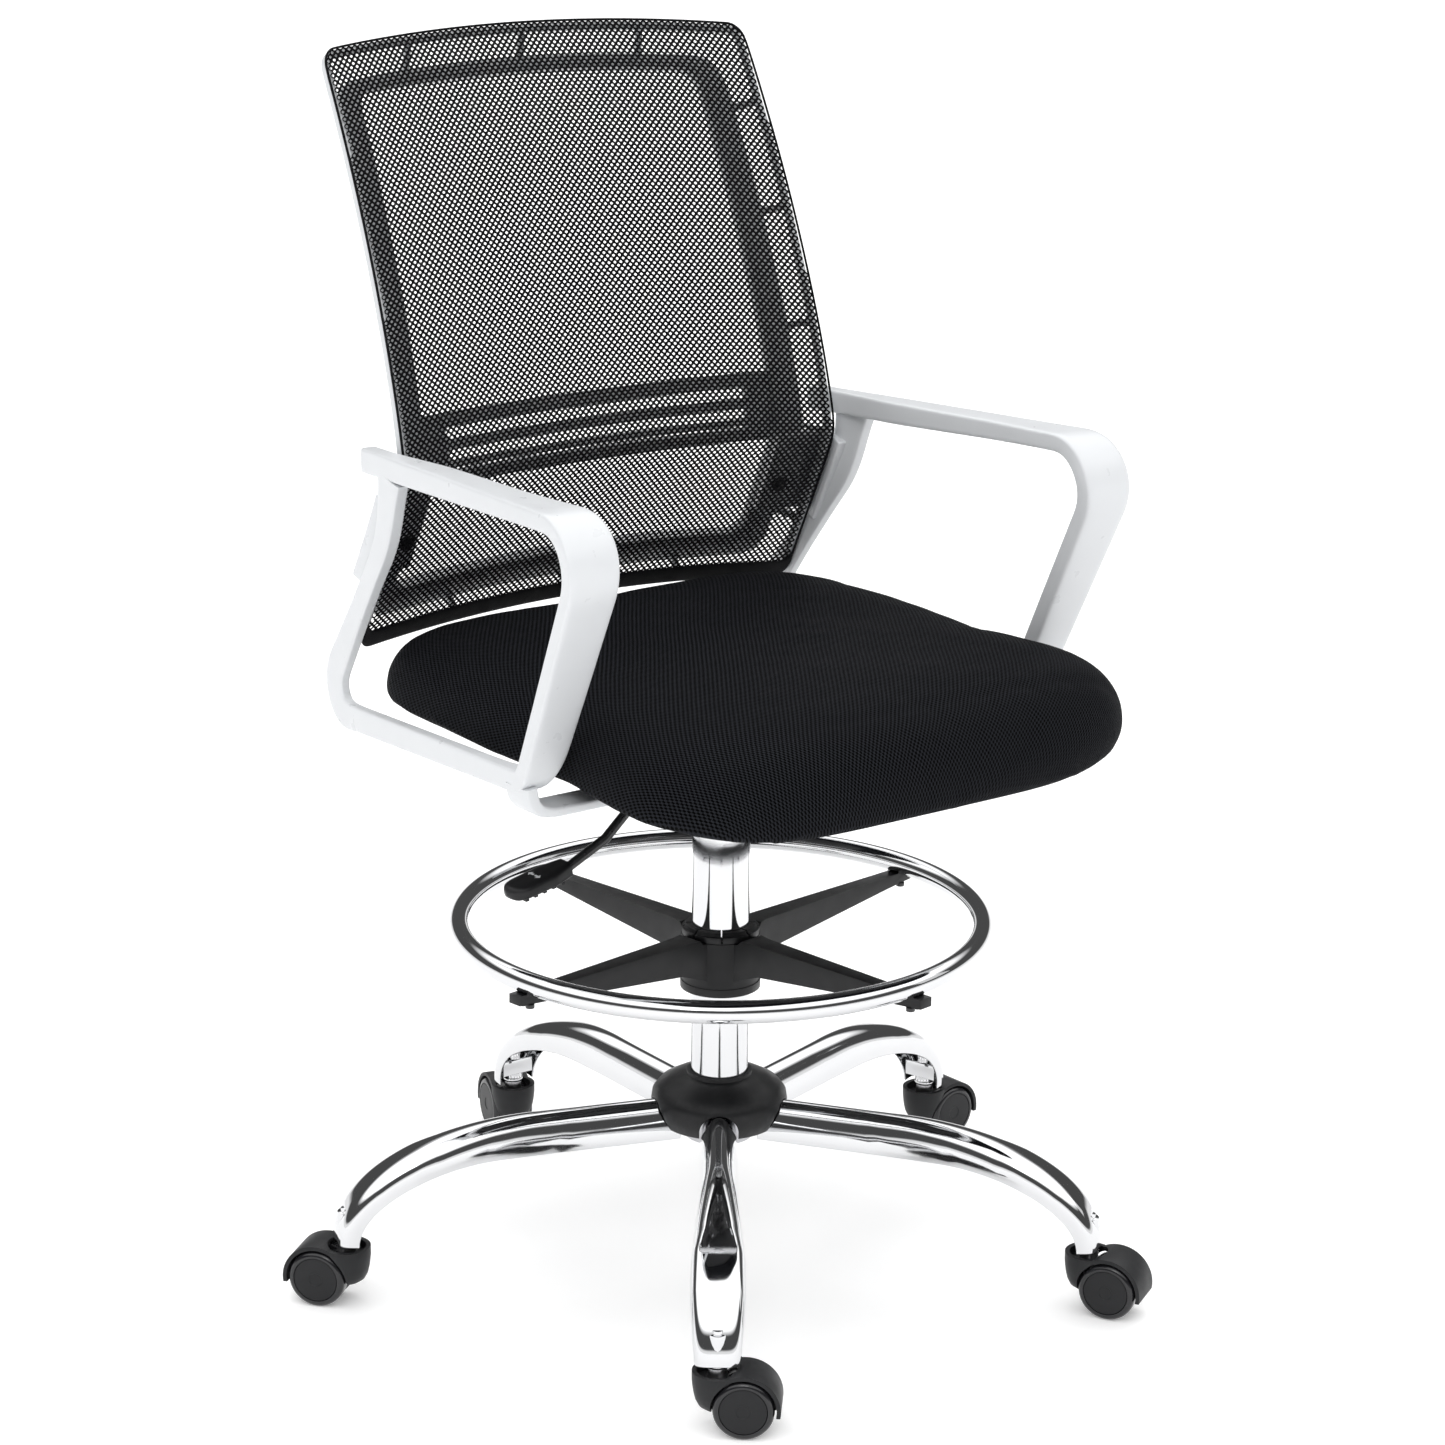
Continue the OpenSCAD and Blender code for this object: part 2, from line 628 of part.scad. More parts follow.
module seat_bolts() {
    color(STEEL) for (p = seat_bolt_places()) translate([p[0], p[1], 0]) {
        translate([0, 0, PAN_LOW_Z - MECH_PLATE[2] - 4]) cylinder(r = 6, h = 4);
        translate([0, 0, PAN_LOW_Z - MECH_PLATE[2] - 1]) cylinder(r = 3, h = 11);
    }
}

// Bent rod from the pivot out past the housing, as [x, z] in the lever's plane
LEVER_LINE = [[-102, LEVER_PIVOT[2]], [-136, 418], [-172, 401]];
PADDLE_TILT = 12;
FINGER_Z = BUTTON_TOP_Z + 0.5;
FINGER_T = 2.4;
module release_lever() {
    level = LEVER_PIVOT[2];
    color(BLACK) {
        translate([LEVER_LINE[0][0], LEVER_Y, level]) rotate([0, 90, 0])
            cylinder(r = LEVER_R, h = LEVER_PIVOT[0] + 12 - LEVER_LINE[0][0]);
        for (p = LEVER_LINE) translate([p[0], LEVER_Y, p[1]]) sphere(r = LEVER_R);
        rod_between(LEVER_LINE[0], LEVER_LINE[1]);
        rod_between(LEVER_LINE[1], LEVER_LINE[2]);
        rod_between(LEVER_LINE[2], LEVER_LINE[2] - 14 * [cos(PADDLE_TILT), sin(PADDLE_TILT)]);
        translate([LEVER_PIVOT[0], LEVER_Y + 9, level]) rotate([90, 0, 0]) cylinder(r = 2.5, h = 18);
        translate([-18, LEVER_Y - 4, level]) cube([6, 8, FINGER_Z + FINGER_T - level]);
        translate([-18, LEVER_Y - 4, FINGER_Z]) cube([21, 26, FINGER_T]);
    }
}

// Straight rod in the lever's plane, from one [x, z] to another
module rod_between(a, b) {
    run = b - a;
    translate([a[0], LEVER_Y, a[1]]) rotate([0, 90 - atan2(run[1], run[0]), 0])
        cylinder(r = LEVER_R, h = norm(run));
}

PADDLE = [62, 31, 12.5];
module lever_paddle() {
    color(BLACK) translate([LEVER_LINE[2][0] - 1.5, LEVER_Y, LEVER_LINE[2][1]])
        rotate([0, -PADDLE_TILT, 0]) difference() {
            union() {
                translate([-PADDLE[0] + PADDLE[1] / 2, 0, -PADDLE[2] / 2])
                    cylinder(d = PADDLE[1], h = PADDLE[2]);
                translate([-PADDLE[0] + PADDLE[1] / 2, -PADDLE[1] / 2, -PADDLE[2] / 2])
                    cube([PADDLE[0] - PADDLE[1] / 2 - 8, PADDLE[1], PADDLE[2]]);
                translate([-10, -9, -PADDLE[2] / 2]) cube([10, 18, PADDLE[2]]);
            }
            rotate([0, -90, 0]) cylinder(r = LEVER_R, h = 12.5);
        }
}

// ---- arms -------------------------------------------------------------------

// Middle line of the arm loop, [y, z], and the corner radius at each point
ARM_LINE = [
    [178, pad_z, 0], [-203, pad_z + 15, 38], [-100, 511, 9], [272, 480, 25], [139, 657, 120],
    [129, pad_z - 6, 0]
];
function arm_point(k) = [ARM_LINE[k][0], ARM_LINE[k][1]];
function arm_path() = concat(
    [for (k = [0 : 7]) arm_row(0, k / 8 * 0.78)],
    corner_points(arm_point(0), arm_point(1), arm_point(2), ARM_LINE[1][2], 1, 9),
    [for (k = [1 : 3]) arm_row(1, 0.2 + 0.15 * k)],
    corner_points(arm_point(1), arm_point(2), arm_point(3), ARM_LINE[2][2], 2, 6),
    [for (k = [1 : 5]) arm_row(2, 0.2 + 0.1 * k)],
    corner_points(arm_point(2), arm_point(3), arm_point(4), ARM_LINE[3][2], 3, 10),
    corner_points(arm_point(3), arm_point(4), arm_point(5), ARM_LINE[4][2], 4, 6),
    [for (k = [1 : 2]) arm_row(4, 0.2 + 0.4 * k)]
);
function arm_row(k, t) =
    let (p = mix(arm_point(k), arm_point(k + 1), t))
    [p[0], p[1], k + t];

// Width across the seat and thickness in the loop's plane, by key along the path
ARM_WIDTH = [
    [0, 16], [0.1, 17], [0.3, 28], [0.6, 33], [0.85, pad_w - 5], [1, pad_w], [1.5, 42], [1.75, 38],
    [2, 31], [2.25, 14], [2.8, 9.5], [3.2, 9.5], [3.7, 11], [4, 12.5], [5, 12.5]
];
ARM_THICK = [
    [0, 21], [0.3, 20], [0.7, 16.5], [1, 16], [1.8, 16], [2, 20], [2.3, 19], [2.8, 22],
    [3, 34], [3.2, 30], [3.5, 23], [3.8, 22], [4, 27], [5, 40]
];
function arm_face(y) = arm_outer_x - arm_spread * y;

// Section across the path at row i, as points in space; the outer face keeps its plane
function arm_section(path, i, count) =
    let (
        p = path[i],
        back = path[max(0, i - 1)],
        next = path[min(len(path) - 1, i + 1)],
        dir = unit([next[0] - back[0], next[1] - back[1]]),
        side = [-dir[1], dir[0]],
        w = lookup(p[2], ARM_WIDTH),
        t = lookup(p[2], ARM_THICK)
    )
    [
        for (q = rounded_outline(w / 2, t / 2, 4.5, count))
            let (y = p[0] + side[0] * q[1], z = p[1] + side[1] * q[1])
            [-arm_face(y) + w / 2 + q[0], y, z]
    ];

// Shrinks a section towards its middle, for the rounded end of the pad
function shrunk(ring, k) =
    let (n = len(ring), sum = [for (i = 0, s = [0, 0, 0]; i < n; s = s + ring[i], i = i + 1) s + ring[i]],
        centre = sum[n - 1] / n)
    [for (p = ring) mix(centre, p, k)];

ARM_RING = 20;
module arm_loop() {
    path = arm_path();
    first = arm_section(path, 0, ARM_RING);
    cap = [for (k = [0 : 3]) let (a = 18 + 18 * k) [
        for (p = shrunk(first, sin(a))) p + [0, 7 * (1 - pow(sin(a), 2)), 0]
    ]];
    skin(concat(cap, [for (i = [0 : len(path) - 1]) arm_section(path, i, ARM_RING)]));
}

// Foot of the front post, turned in under the seat
ARM_FOOT = [
    [-270, 508, 11], [-269, 497, 11], [-263, 488.5, 10], [-250, PAN_LOW_Z - 4.2, 8],
    [-200, PAN_LOW_Z - 4.2, 8], [-128, PAN_LOW_Z - 4.2, 8]
];
FOOT_Y = -96;
function arm_bolt_places() = [for (x = [150, 185]) [x, FOOT_Y]];
module arm_foot() {
    skin([
        for (i = [0 : len(ARM_FOOT) - 1])
            let (
                p = ARM_FOOT[i],
                back = ARM_FOOT[max(0, i - 1)],
                next = ARM_FOOT[min(len(ARM_FOOT) - 1, i + 1)],
                dir = unit([next[0] - back[0], next[1] - back[1]])
            )
            [
                for (q = rounded_outline(p[2] / 2, 16, 5, 16))
                    [p[0] + dir[1] * q[0], FOOT_Y + q[1], p[1] - dir[0] * q[0]]
            ]
    ]);
}

// Bracket from the rear post round the mesh's edge to the front of the frame's side member
EAR_LOW_Z = 606;
EAR_HIGH_Z = 684;
EAR_T = 8;
EAR_GAP = 0.6;              // clearance between the frame and an ear
EAR_REACH = 46;
function ear_front() = MEMBER_FRONT - EAR_GAP - EAR_T;
module arm_ear() {
    steps = 8;
    near = ear_front();
    section = [
        [-12, -6], [-12, near + EAR_T], [EAR_REACH, near + EAR_T],
        [EAR_REACH, near], [-3, near], [-3, -6]
    ];
    skin([
        for (k = [0 : steps])
            let (z = mix(EAR_LOW_Z, EAR_HIGH_Z, k / steps))
            [for (c = section) back_at(-back_half(z) + c[0], z, c[1])]
    ]);
}

// Zero sizes keep every size as it is: resize() only welds the swept pieces into one skin
module arm() resize([0, 0, 0]) {
    arm_loop();
    arm_foot();
    arm_ear();
}

module arm_right() color(WHITE) arm();
module arm_left() color(WHITE) mirror([1, 0, 0]) arm();

module arm_bolts() {
    color(STEEL) for (s = [-1, 1], p = arm_bolt_places()) translate([s * p[0], p[1], 0]) {
        translate([0, 0, PAN_LOW_Z - 12]) cylinder(r = 6, h = 4);
        translate([0, 0, PAN_LOW_Z - 9]) cylinder(r = 3, h = 16);
    }
}

// ---- back -------------------------------------------------------------------

MESH_T = 1.6;
MEMBER_FRONT = 22;          // depth of the frame behind the mesh
MEMBER_BACK = 34;
BACK_ARCH = 11;             // rise of the top and bottom edges at the middle

function back_half(z) =
    mix(back_low_w, back_high_w, (z - back_low_z) / (back_high_z - back_low_z));

// Distance behind the column's axis of the mesh's edge: two slopes joined by a soft bend
function back_edge_y(z) =
    let (
        below = lumbar_y + (lumbar_z - z) * 0.52,
        above = lumbar_y + (z - lumbar_z) * 0.225 + pow(max(0, z - lumbar_z), 2) * 0.00048
    )
    (below + above + sqrt(pow(below - above, 2) + 100)) / 2;
function bow(z) =
    back_bow - 6 * clamp01((z - lumbar_z) / (back_high_z - lumbar_z));
function back_y(x, z) = back_edge_y(z) + bow(z) * (1 - pow(x / back_half(z), 2));
function back_normal(x, z) =
    let (e = 0.5)
    unit([
        -(back_y(x + e, z) - back_y(x - e, z)) / (2 * e), 1,
        -(back_y(x, z + e) - back_y(x, z - e)) / (2 * e)
    ]);
// Point on the back at x and z, moved depth behind the mesh
function back_at(x, z, depth) = [x, back_y(x, z), z] + depth * back_normal(x, z);
// The same, with the rise of the top and bottom edges added
function arched(x, z) = z + BACK_ARCH * (1 - pow(x / back_half(z), 2));

MESH_CORNER = 14;
function mesh_rows() = concat(
    [for (k = [0 : 3]) back_low_z + MESH_CORNER * (1 - cos(22.5 * k))],
    [for (k = [0 : 4]) mix(back_low_z + MESH_CORNER, lumbar_z - 10, k / 4)],
    [for (k = [0 : 13]) mix(lumbar_z, back_high_z - MESH_CORNER, pow(k / 13, 1.2))],
    [for (k = [1 : 4]) back_high_z - MESH_CORNER * (1 - sin(22.5 * k))]
);
// Half width of the mesh at z, with rounded corners
function mesh_half(z) =
    let (
        near_end = min(z - back_low_z, back_high_z - z),
        c = max(0, MESH_CORNER - near_end)
    )
    back_half(z) - MESH_CORNER + sqrt(MESH_CORNER * MESH_CORNER - c * c);

module back_mesh() {
    columns = 14;
    color(FABRIC) skin([
        for (z = mesh_rows()) [
            for (side = [0, 1], k = [0 : columns])
                let (x = mesh_half(z) * (2 * (side == 0 ? k : columns - k) / columns - 1))
                back_at(x, arched(x, z), (side - 0.5) * MESH_T)
        ]
    ]);
}

// Outline of the back inset by [side, top, bottom], corners rounded to r, as [x, z]
function back_outline(inset, r) =
    let (
        low = back_low_z + inset[2],
        high = back_high_z - inset[1],
        low_x = back_half(low) - inset[0],
        high_x = back_half(high) - inset[0],
        right = concat(
            [for (k = [0 : 3]) let (a = 22.5 * k - 90) [low_x - r + r * cos(a), low + r + r * sin(a)]],
            [for (k = [0 : 5]) let (z = mix(low + r, lumbar_z - 8, k / 5)) [back_half(z) - inset[0], z]],
            [for (k = [0 : 11]) let (z = mix(lumbar_z + 4, high - r, k / 11)) [back_half(z) - inset[0], z]],
            [for (k = [1 : 4]) let (a = 22.5 * k) [high_x - r + r * cos(a), high - r + r * sin(a)]]
        ),
        top = [for (k = [1 : 9]) [mix(high_x - r, r - high_x, k / 10), high]],
        bottom = [for (k = [1 : 9]) [mix(r - low_x, low_x - r, k / 10), low]],
        count = len(right)
    )
    [
        for (p = concat(right, top, [for (k = [count - 1 : -1 : 0]) [-right[k][0], right[k][1]]], bottom))
            [p[0], arched(p[0], p[1])]
    ];

// Box section swept round the back: inset and width as [side, top, bottom], depths behind the mesh
module back_loop(inset, width, front, rear, r_out, r_in) {
    outer = back_outline(inset, r_out);
    inner = back_outline(inset + width, r_in);
    skin([
        for (k = [0 : len(outer) - 1]) [
            back_at(outer[k][0], outer[k][1], front), back_at(outer[k][0], outer[k][1], rear),
            back_at(inner[k][0], inner[k][1], rear), back_at(inner[k][0], inner[k][1], front)
        ]
    ], loop = true);
}

module back_rim() {
    color(WHITE) back_loop([1, 1, 1], [5, 5, 5], MESH_T / 2, 7, 13, 8);
}

SIDE_INSET = 18;
SIDE_W = 28;
RIB_ROWS = [600, 690, 790, 890, 980];
module back_frame() {
    color(WHITE) {
        back_loop([SIDE_INSET, 20, 6], [SIDE_W, 13, 24], MEMBER_FRONT, MEMBER_BACK, 26, 14);
        for (s = [-1, 1], z = RIB_ROWS) side_rib(s, z);
        for (x = [-120, 0, 120]) {
            end_rib(x, arched(x, back_high_z), -1);
            end_rib(x, arched(x, back_low_z), 1);
        }
    }
}

// Short web from the rim back to the frame's side member
module side_rib(s, z) {
    w = back_half(z);
    skin([
        for (dz = [-3, 3]) [
            back_at(s * (w - 2), z + dz, 7), back_at(s * (w - 6), z + dz, 7),
            back_at(s * (w - SIDE_INSET - 5), z + dz, MEMBER_FRONT + 1),
            back_at(s * (w - SIDE_INSET - 1), z + dz, MEMBER_FRONT + 4)
        ]
    ]);
}

// The same between the rim and the top or bottom member
module end_rib(x, z, up) {
    reach = up > 0 ? 12 : 26;
    skin([
        for (dx = [-3, 3]) [
            back_at(x + dx, z + up * 2, 7), back_at(x + dx, z + up * 6, 7),
            back_at(x + dx, z + up * reach, MEMBER_FRONT + 1),
            back_at(x + dx, z + up * (reach - 4), MEMBER_FRONT + 4)
        ]
    ]);
}

// Curved panel between the side members, with three long slots
PANEL_Z = [674, 752];
PANEL_SLOTS = [694, 714, 734];
module lumbar_support() {
    steps = 16;
    half = back_half(714) - SIDE_INSET - SIDE_W + 2;
    rows = [PANEL_Z[0], 689, 699, 709, 719, 729, 739, PANEL_Z[1]];
    color(WHITE) {
        for (k = [0 : 2 : len(rows) - 1]) panel_bar(-half, half, rows[k], rows[k + 1], steps);
        for (s = [-1, 1]) panel_bar(s * half, s * (half - 26), PANEL_Z[0] + 1, PANEL_Z[1] - 1, 3);
    }
}

module panel_bar(x0, x1, z0, z1, steps)
    skin([
        for (k = [0 : steps])
            let (x = mix(x0, x1, k / steps))
            [back_at(x, z0, 25), back_at(x, z1, 25), back_at(x, z1, 31), back_at(x, z0, 31)]
    ]);

// Two bolts a side join the frame and the ears of the arms: the lower one from the front
BACK_BOLT_ROWS = [666, 634];
module back_bolts() {
    color(BLACK) for (s = [-1, 1], k = [0, 1]) {
        z = BACK_BOLT_ROWS[k];
        x = s * (back_half(z) - SIDE_INSET - SIDE_W / 2);
        n = back_normal(x, z);
        translate(back_at(x, z, 0)) rotate([0, acos(n[2]), atan2(n[1], n[0])]) {
            translate([0, 0, k == 0 ? MEMBER_BACK : ear_front() - 4]) cylinder(r = 7, h = 4);
            translate([0, 0, k == 0 ? MEMBER_BACK - 15 : ear_front() - 1]) cylinder(r = 3, h = 16);
        }
    }
}

// ---- which node is drawn ----------------------------------------------------

base_hub();
leg(0);  // leg_1
leg(1);  // leg_2
leg(2);  // leg_3
leg(3);  // leg_4
leg(4);  // leg_5
leg_nut_plates();
leg_bolts();
hub_cover();
caster_sockets();
caster_stem(0);  // caster_1_stem
caster_hood(0);  // caster_1_hood
caster_axle(0);  // caster_1_axle
caster_wheel(0, 1);  // caster_1_wheel_a
caster_wheel(0, -1);  // caster_1_wheel_b
caster_stem(1);  // caster_2_stem
caster_hood(1);  // caster_2_hood
caster_axle(1);  // caster_2_axle
caster_wheel(1, 1);  // caster_2_wheel_a
caster_wheel(1, -1);  // caster_2_wheel_b
caster_stem(2);  // caster_3_stem
caster_hood(2);  // caster_3_hood
caster_axle(2);  // caster_3_axle
caster_wheel(2, 1);  // caster_3_wheel_a
caster_wheel(2, -1);  // caster_3_wheel_b
caster_stem(3);  // caster_4_stem
caster_hood(3);  // caster_4_hood
caster_axle(3);  // caster_4_axle
caster_wheel(3, 1);  // caster_4_wheel_a
caster_wheel(3, -1);  // caster_4_wheel_b
caster_stem(4);  // caster_5_stem
caster_hood(4);  // caster_5_hood
caster_axle(4);  // caster_5_axle
caster_wheel(4, 1);  // caster_5_wheel_a
caster_wheel(4, -1);  // caster_5_wheel_b
outer_column();
guide_bush();
thrust_bearing();
piston_rod();
retaining_clip();
gas_cylinder();
release_button();
ring_collet();
ring_hub();
foot_ring();
ring_screws();
seat_mechanism();
release_lever();
lever_paddle();
seat_pan();
seat_cushion();
seat_bolts();
arm_right();
arm_left();
arm_bolts();
back_frame();
back_rim();
lumbar_support();
back_mesh();
back_bolts();
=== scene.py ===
import json
import math

import bmesh
import bpy
import numpy as np
from mathutils import Matrix, Vector, noise


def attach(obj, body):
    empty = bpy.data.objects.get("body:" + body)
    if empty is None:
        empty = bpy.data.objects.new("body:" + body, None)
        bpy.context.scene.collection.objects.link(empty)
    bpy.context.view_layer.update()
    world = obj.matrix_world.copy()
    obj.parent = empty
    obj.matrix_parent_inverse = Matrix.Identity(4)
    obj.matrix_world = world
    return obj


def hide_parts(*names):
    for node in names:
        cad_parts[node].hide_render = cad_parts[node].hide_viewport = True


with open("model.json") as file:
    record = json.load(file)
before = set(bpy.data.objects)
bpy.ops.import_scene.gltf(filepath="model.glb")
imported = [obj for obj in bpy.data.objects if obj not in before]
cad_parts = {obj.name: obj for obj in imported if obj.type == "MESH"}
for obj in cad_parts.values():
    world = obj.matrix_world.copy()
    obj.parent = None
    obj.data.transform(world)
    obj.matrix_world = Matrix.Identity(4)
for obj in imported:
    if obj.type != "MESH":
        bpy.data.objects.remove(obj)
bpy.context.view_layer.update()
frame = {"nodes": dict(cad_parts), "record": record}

MM = 0.001

# ---- sizes shared with the CAD, millimetres ---------------------------------

BASE_R = 334
BASE_TURN = 37             # degrees from the chair's front to the first leg
LEG_TOP_Z = 154
LEG_END_Z = 58
LEG_HEIGHT = 33
BEND_START = 0.35
LEG_WALL = 2.2
COLUMN_R = 25
WHEEL_R = 25
WHEEL_W = 16
WHEEL_FACE = 3.6           # a wheel's inner face, from the caster's middle
AXLE_R = 3
CASTER_TRAIL = 22
CASTER_HEADING = [319, 299, 3, 75, 128]    # degrees, where each caster points at rest
RING_R = 225.5
RING_TUBE_R = 9.5
RING_Z = 314
COLUMN_FOOT_Z = 118
COLUMN_TOP_Z = 415
SEAT_FRONT_W = 520
SEAT_WAIST_W = 475
SEAT_REAR_W = 472
SEAT_FRONT_Y = 288
SEAT_REAR_Y = 212
SEAT_BASE_Z = 501
SEAT_EDGE_Z = 512
SEAT_CROWN_Z = 560
SEAT_LIP = 26
CUSHION_SHRINK = -5.5      # the pad starts this much inside its plan; below zero it starts outside
CUSHION_CAP = 5            # the furthest that the simulation may move a point
CLOTH_FRAMES = 20
CLOTH_PRESSURE = 4.0
VOXEL = 5.4
ARM_OUTER_X = 265
ARM_SPREAD = 0.115
PAD_Z = 716
PAD_W = 49
BACK_LOW_W = 231
BACK_HIGH_W = 219
BACK_LOW_Z = 543
BACK_HIGH_Z = 1044
LUMBAR_Z = 693
LUMBAR_Y = 133
BACK_BOW = 23
BACK_ARCH = 11
MESH_CORNER = 14
MEMBER_FRONT = 22
MEMBER_BACK = 34
NET_HOLE = 0.44            # an eyelet's size as a share of its cell
NET_PITCH_X = 6.2
NET_PITCH_Z = 5.7
NET_RIM = 1.4
HEM_W = 1.8
HEM_LOW_W = 16
EAR_LOW_Z = 606
EAR_HIGH_Z = 684
EAR_T = 8
SIDE_INSET = 18
SIDE_W = 28


# ---- small helpers ----------------------------------------------------------

def mix(a, b, t):
    return a + (b - a) * t


def lookup(t, table):
    return float(np.interp(t, [row[0] for row in table], [row[1] for row in table]))


def signed_pow(v, p):
    return math.copysign(abs(v) ** p, v)


def unit(v):
    v = np.asarray(v, float)
    return v / np.linalg.norm(v)


def smooth_rows(rows, passes):
    """Averages each row with its neighbours, a given number of times; the end rows stay."""
    a = np.array(rows, float)
    for _ in range(passes):
        b = a.copy()
        b[1:-1] = (a[:-2] + 2 * a[1:-1] + a[2:]) / 4
        a = b
    return a


def resample(points, step):
    """Even steps along a polyline in the first two columns; the other columns are carried along."""
    p = np.array(points, float)
    length = np.r_[0, np.cumsum(np.linalg.norm(np.diff(p[:, :2], axis=0), axis=1))]
    n = max(2, int(round(length[-1] / step)) + 1)
    s = np.linspace(0, length[-1], n)
    return np.stack([np.interp(s, length, p[:, k]) for k in range(p.shape[1])], axis=1)


def superellipse(a, b, e, count):
    rows = []
    for k in range(count):
        t = 2 * math.pi * k / count
        rows.append((a * signed_pow(math.cos(t), 2 / e), b * signed_pow(math.sin(t), 2 / e)))
    return rows


def rounded_rect(hx, hy, r, steps):
    """Outline of a rectangle with round corners, anticlockwise."""
    r = min(r, hx, hy)
    rows = []
    corners = ((hx - r, hy - r, 0), (r - hx, hy - r, 90), (r - hx, r - hy, 180), (hx - r, r - hy, 270))
    for cx, cy, a0 in corners:
        for k in range(steps + 1):
            a = math.radians(a0 + 90 * k / steps)
            rows.append((cx + r * math.cos(a), cy + r * math.sin(a)))
    return rows


def grid(rings, loop=False):
    """Vertices and quads over closed rings of equal length, with end faces unless the rings form a loop."""
    count, size = len(rings), len(rings[0])
    verts = [tuple(p) for ring in rings for p in ring]
    faces = []
    for i in range(count if loop else count - 1):
        n = (i + 1) % count
        for j in range(size):
            m = (j + 1) % size
            faces.append((i * size + j, i * size + m, n * size + m, n * size + j))
    if not loop:
        faces.append(tuple(range(size - 1, -1, -1)))
        faces.append(tuple((count - 1) * size + j for j in range(size)))
    return verts, faces


def lathe(profile, segments):
    """Vertices and quads of a closed profile [radius, height] turned round Z."""
    rings = []
    for k in range(segments):
        a = 2 * math.pi * k / segments
        rings.append([(r * math.cos(a), r * math.sin(a), z) for r, z in profile])
    return grid(rings, loop=True)


def merged(*parts):
    verts, faces = [], []
    for v, f in parts:
        base = len(verts)
        verts += list(v)
        faces += [tuple(i + base for i in face) for face in f]
    return verts, faces


def moved(part, matrix):
    v, f = part
    return [tuple(matrix @ Vector(p)) for p in v], f


def shade(obj, angle):
    mesh = obj.data
    mesh.polygons.foreach_set("use_smooth", [True] * len(mesh.polygons))
    mesh.set_sharp_from_angle(angle=math.radians(angle))


def linked(name, mesh):
    obj = bpy.data.objects.new(name, mesh)
    bpy.context.scene.collection.objects.link(obj)
    return obj


def mesh_object(name, part, outward=True):
    """An object from vertices in millimetres, its faces turned outwards unless it is an open sheet."""
    verts, faces = part
    mesh = bpy.data.meshes.new(name)
    mesh.from_pydata([(x * MM, y * MM, z * MM) for x, y, z in verts], [], faces)
    if outward:
        bm = bmesh.new()
        bm.from_mesh(mesh)
        bmesh.ops.recalc_face_normals(bm, faces=bm.faces)
        bm.to_mesh(mesh)
        bm.free()
    return linked(name, mesh)


def piece(name, part, body, material, replaces=(), angle=35, outward=True):
    """A new piece from vertices in millimetres, riding on a CAD body."""
    obj = mesh_object(name, part, outward)
    obj.data.materials.append(material)
    shade(obj, angle)
    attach(obj, body)
    if replaces:
        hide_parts(*replaces)
    return obj


def modifier(obj, kind, **values):
    m = obj.modifiers.new(kind.lower(), kind)
    for key, value in values.items():
        setattr(m, key, value)
    return m


def soften(obj, width, segments, angle):
    """Rounds the edges sharper than an angle; the modifier stays on the piece."""
    modifier(obj, "BEVEL", width=width * MM, segments=segments, limit_method="ANGLE",
             angle_limit=math.radians(angle))


def apply_modifiers(obj):
    depsgraph = bpy.context.evaluated_depsgraph_get()
    mesh = bpy.data.meshes.new_from_object(obj.evaluated_get(depsgraph))
    obj.modifiers.clear()
    obj.data = mesh


def dressed(node, material, bevel=0.6, segments=2, cut=None):
    """The CAD node's own shape as a new piece, less the part in cut, with its edges rounded."""
    obj = linked(node + "_piece", frame["nodes"][node].data.copy())
    mesh = obj.data
    bm = bmesh.new()
    bm.from_mesh(mesh)
    bmesh.ops.remove_doubles(bm, verts=bm.verts, dist=1e-5)
    bmesh.ops.dissolve_limit(bm, angle_limit=math.radians(1.0), verts=bm.verts, edges=bm.edges)
    bm.to_mesh(mesh)
    bm.free()
    mesh.materials.clear()
    mesh.materials.append(material)
    for polygon in mesh.polygons:
        polygon.material_index = 0
    if cut:
        cutter = mesh_object("cutter", cut)
        modifier(obj, "BOOLEAN", operation="DIFFERENCE", solver="EXACT", object=cutter)
        apply_modifiers(obj)
        bpy.data.objects.remove(cutter)
    modifier(obj, "BEVEL", width=bevel * MM, segments=segments, limit_method="ANGLE",
             angle_limit=math.radians(40), use_clamp_overlap=True, miter_outer="MITER_ARC")
    apply_modifiers(obj)
    shade(obj, 30)
    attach(obj, body_of_node(node))
    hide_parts(node)
    return obj


def body_of_node(node):
    for name, nodes in frame["record"]["behaviour"]["bodies"].items():
        if node in nodes:
            return name
    raise KeyError(node)


# ---- materials --------------------------------------------------------------

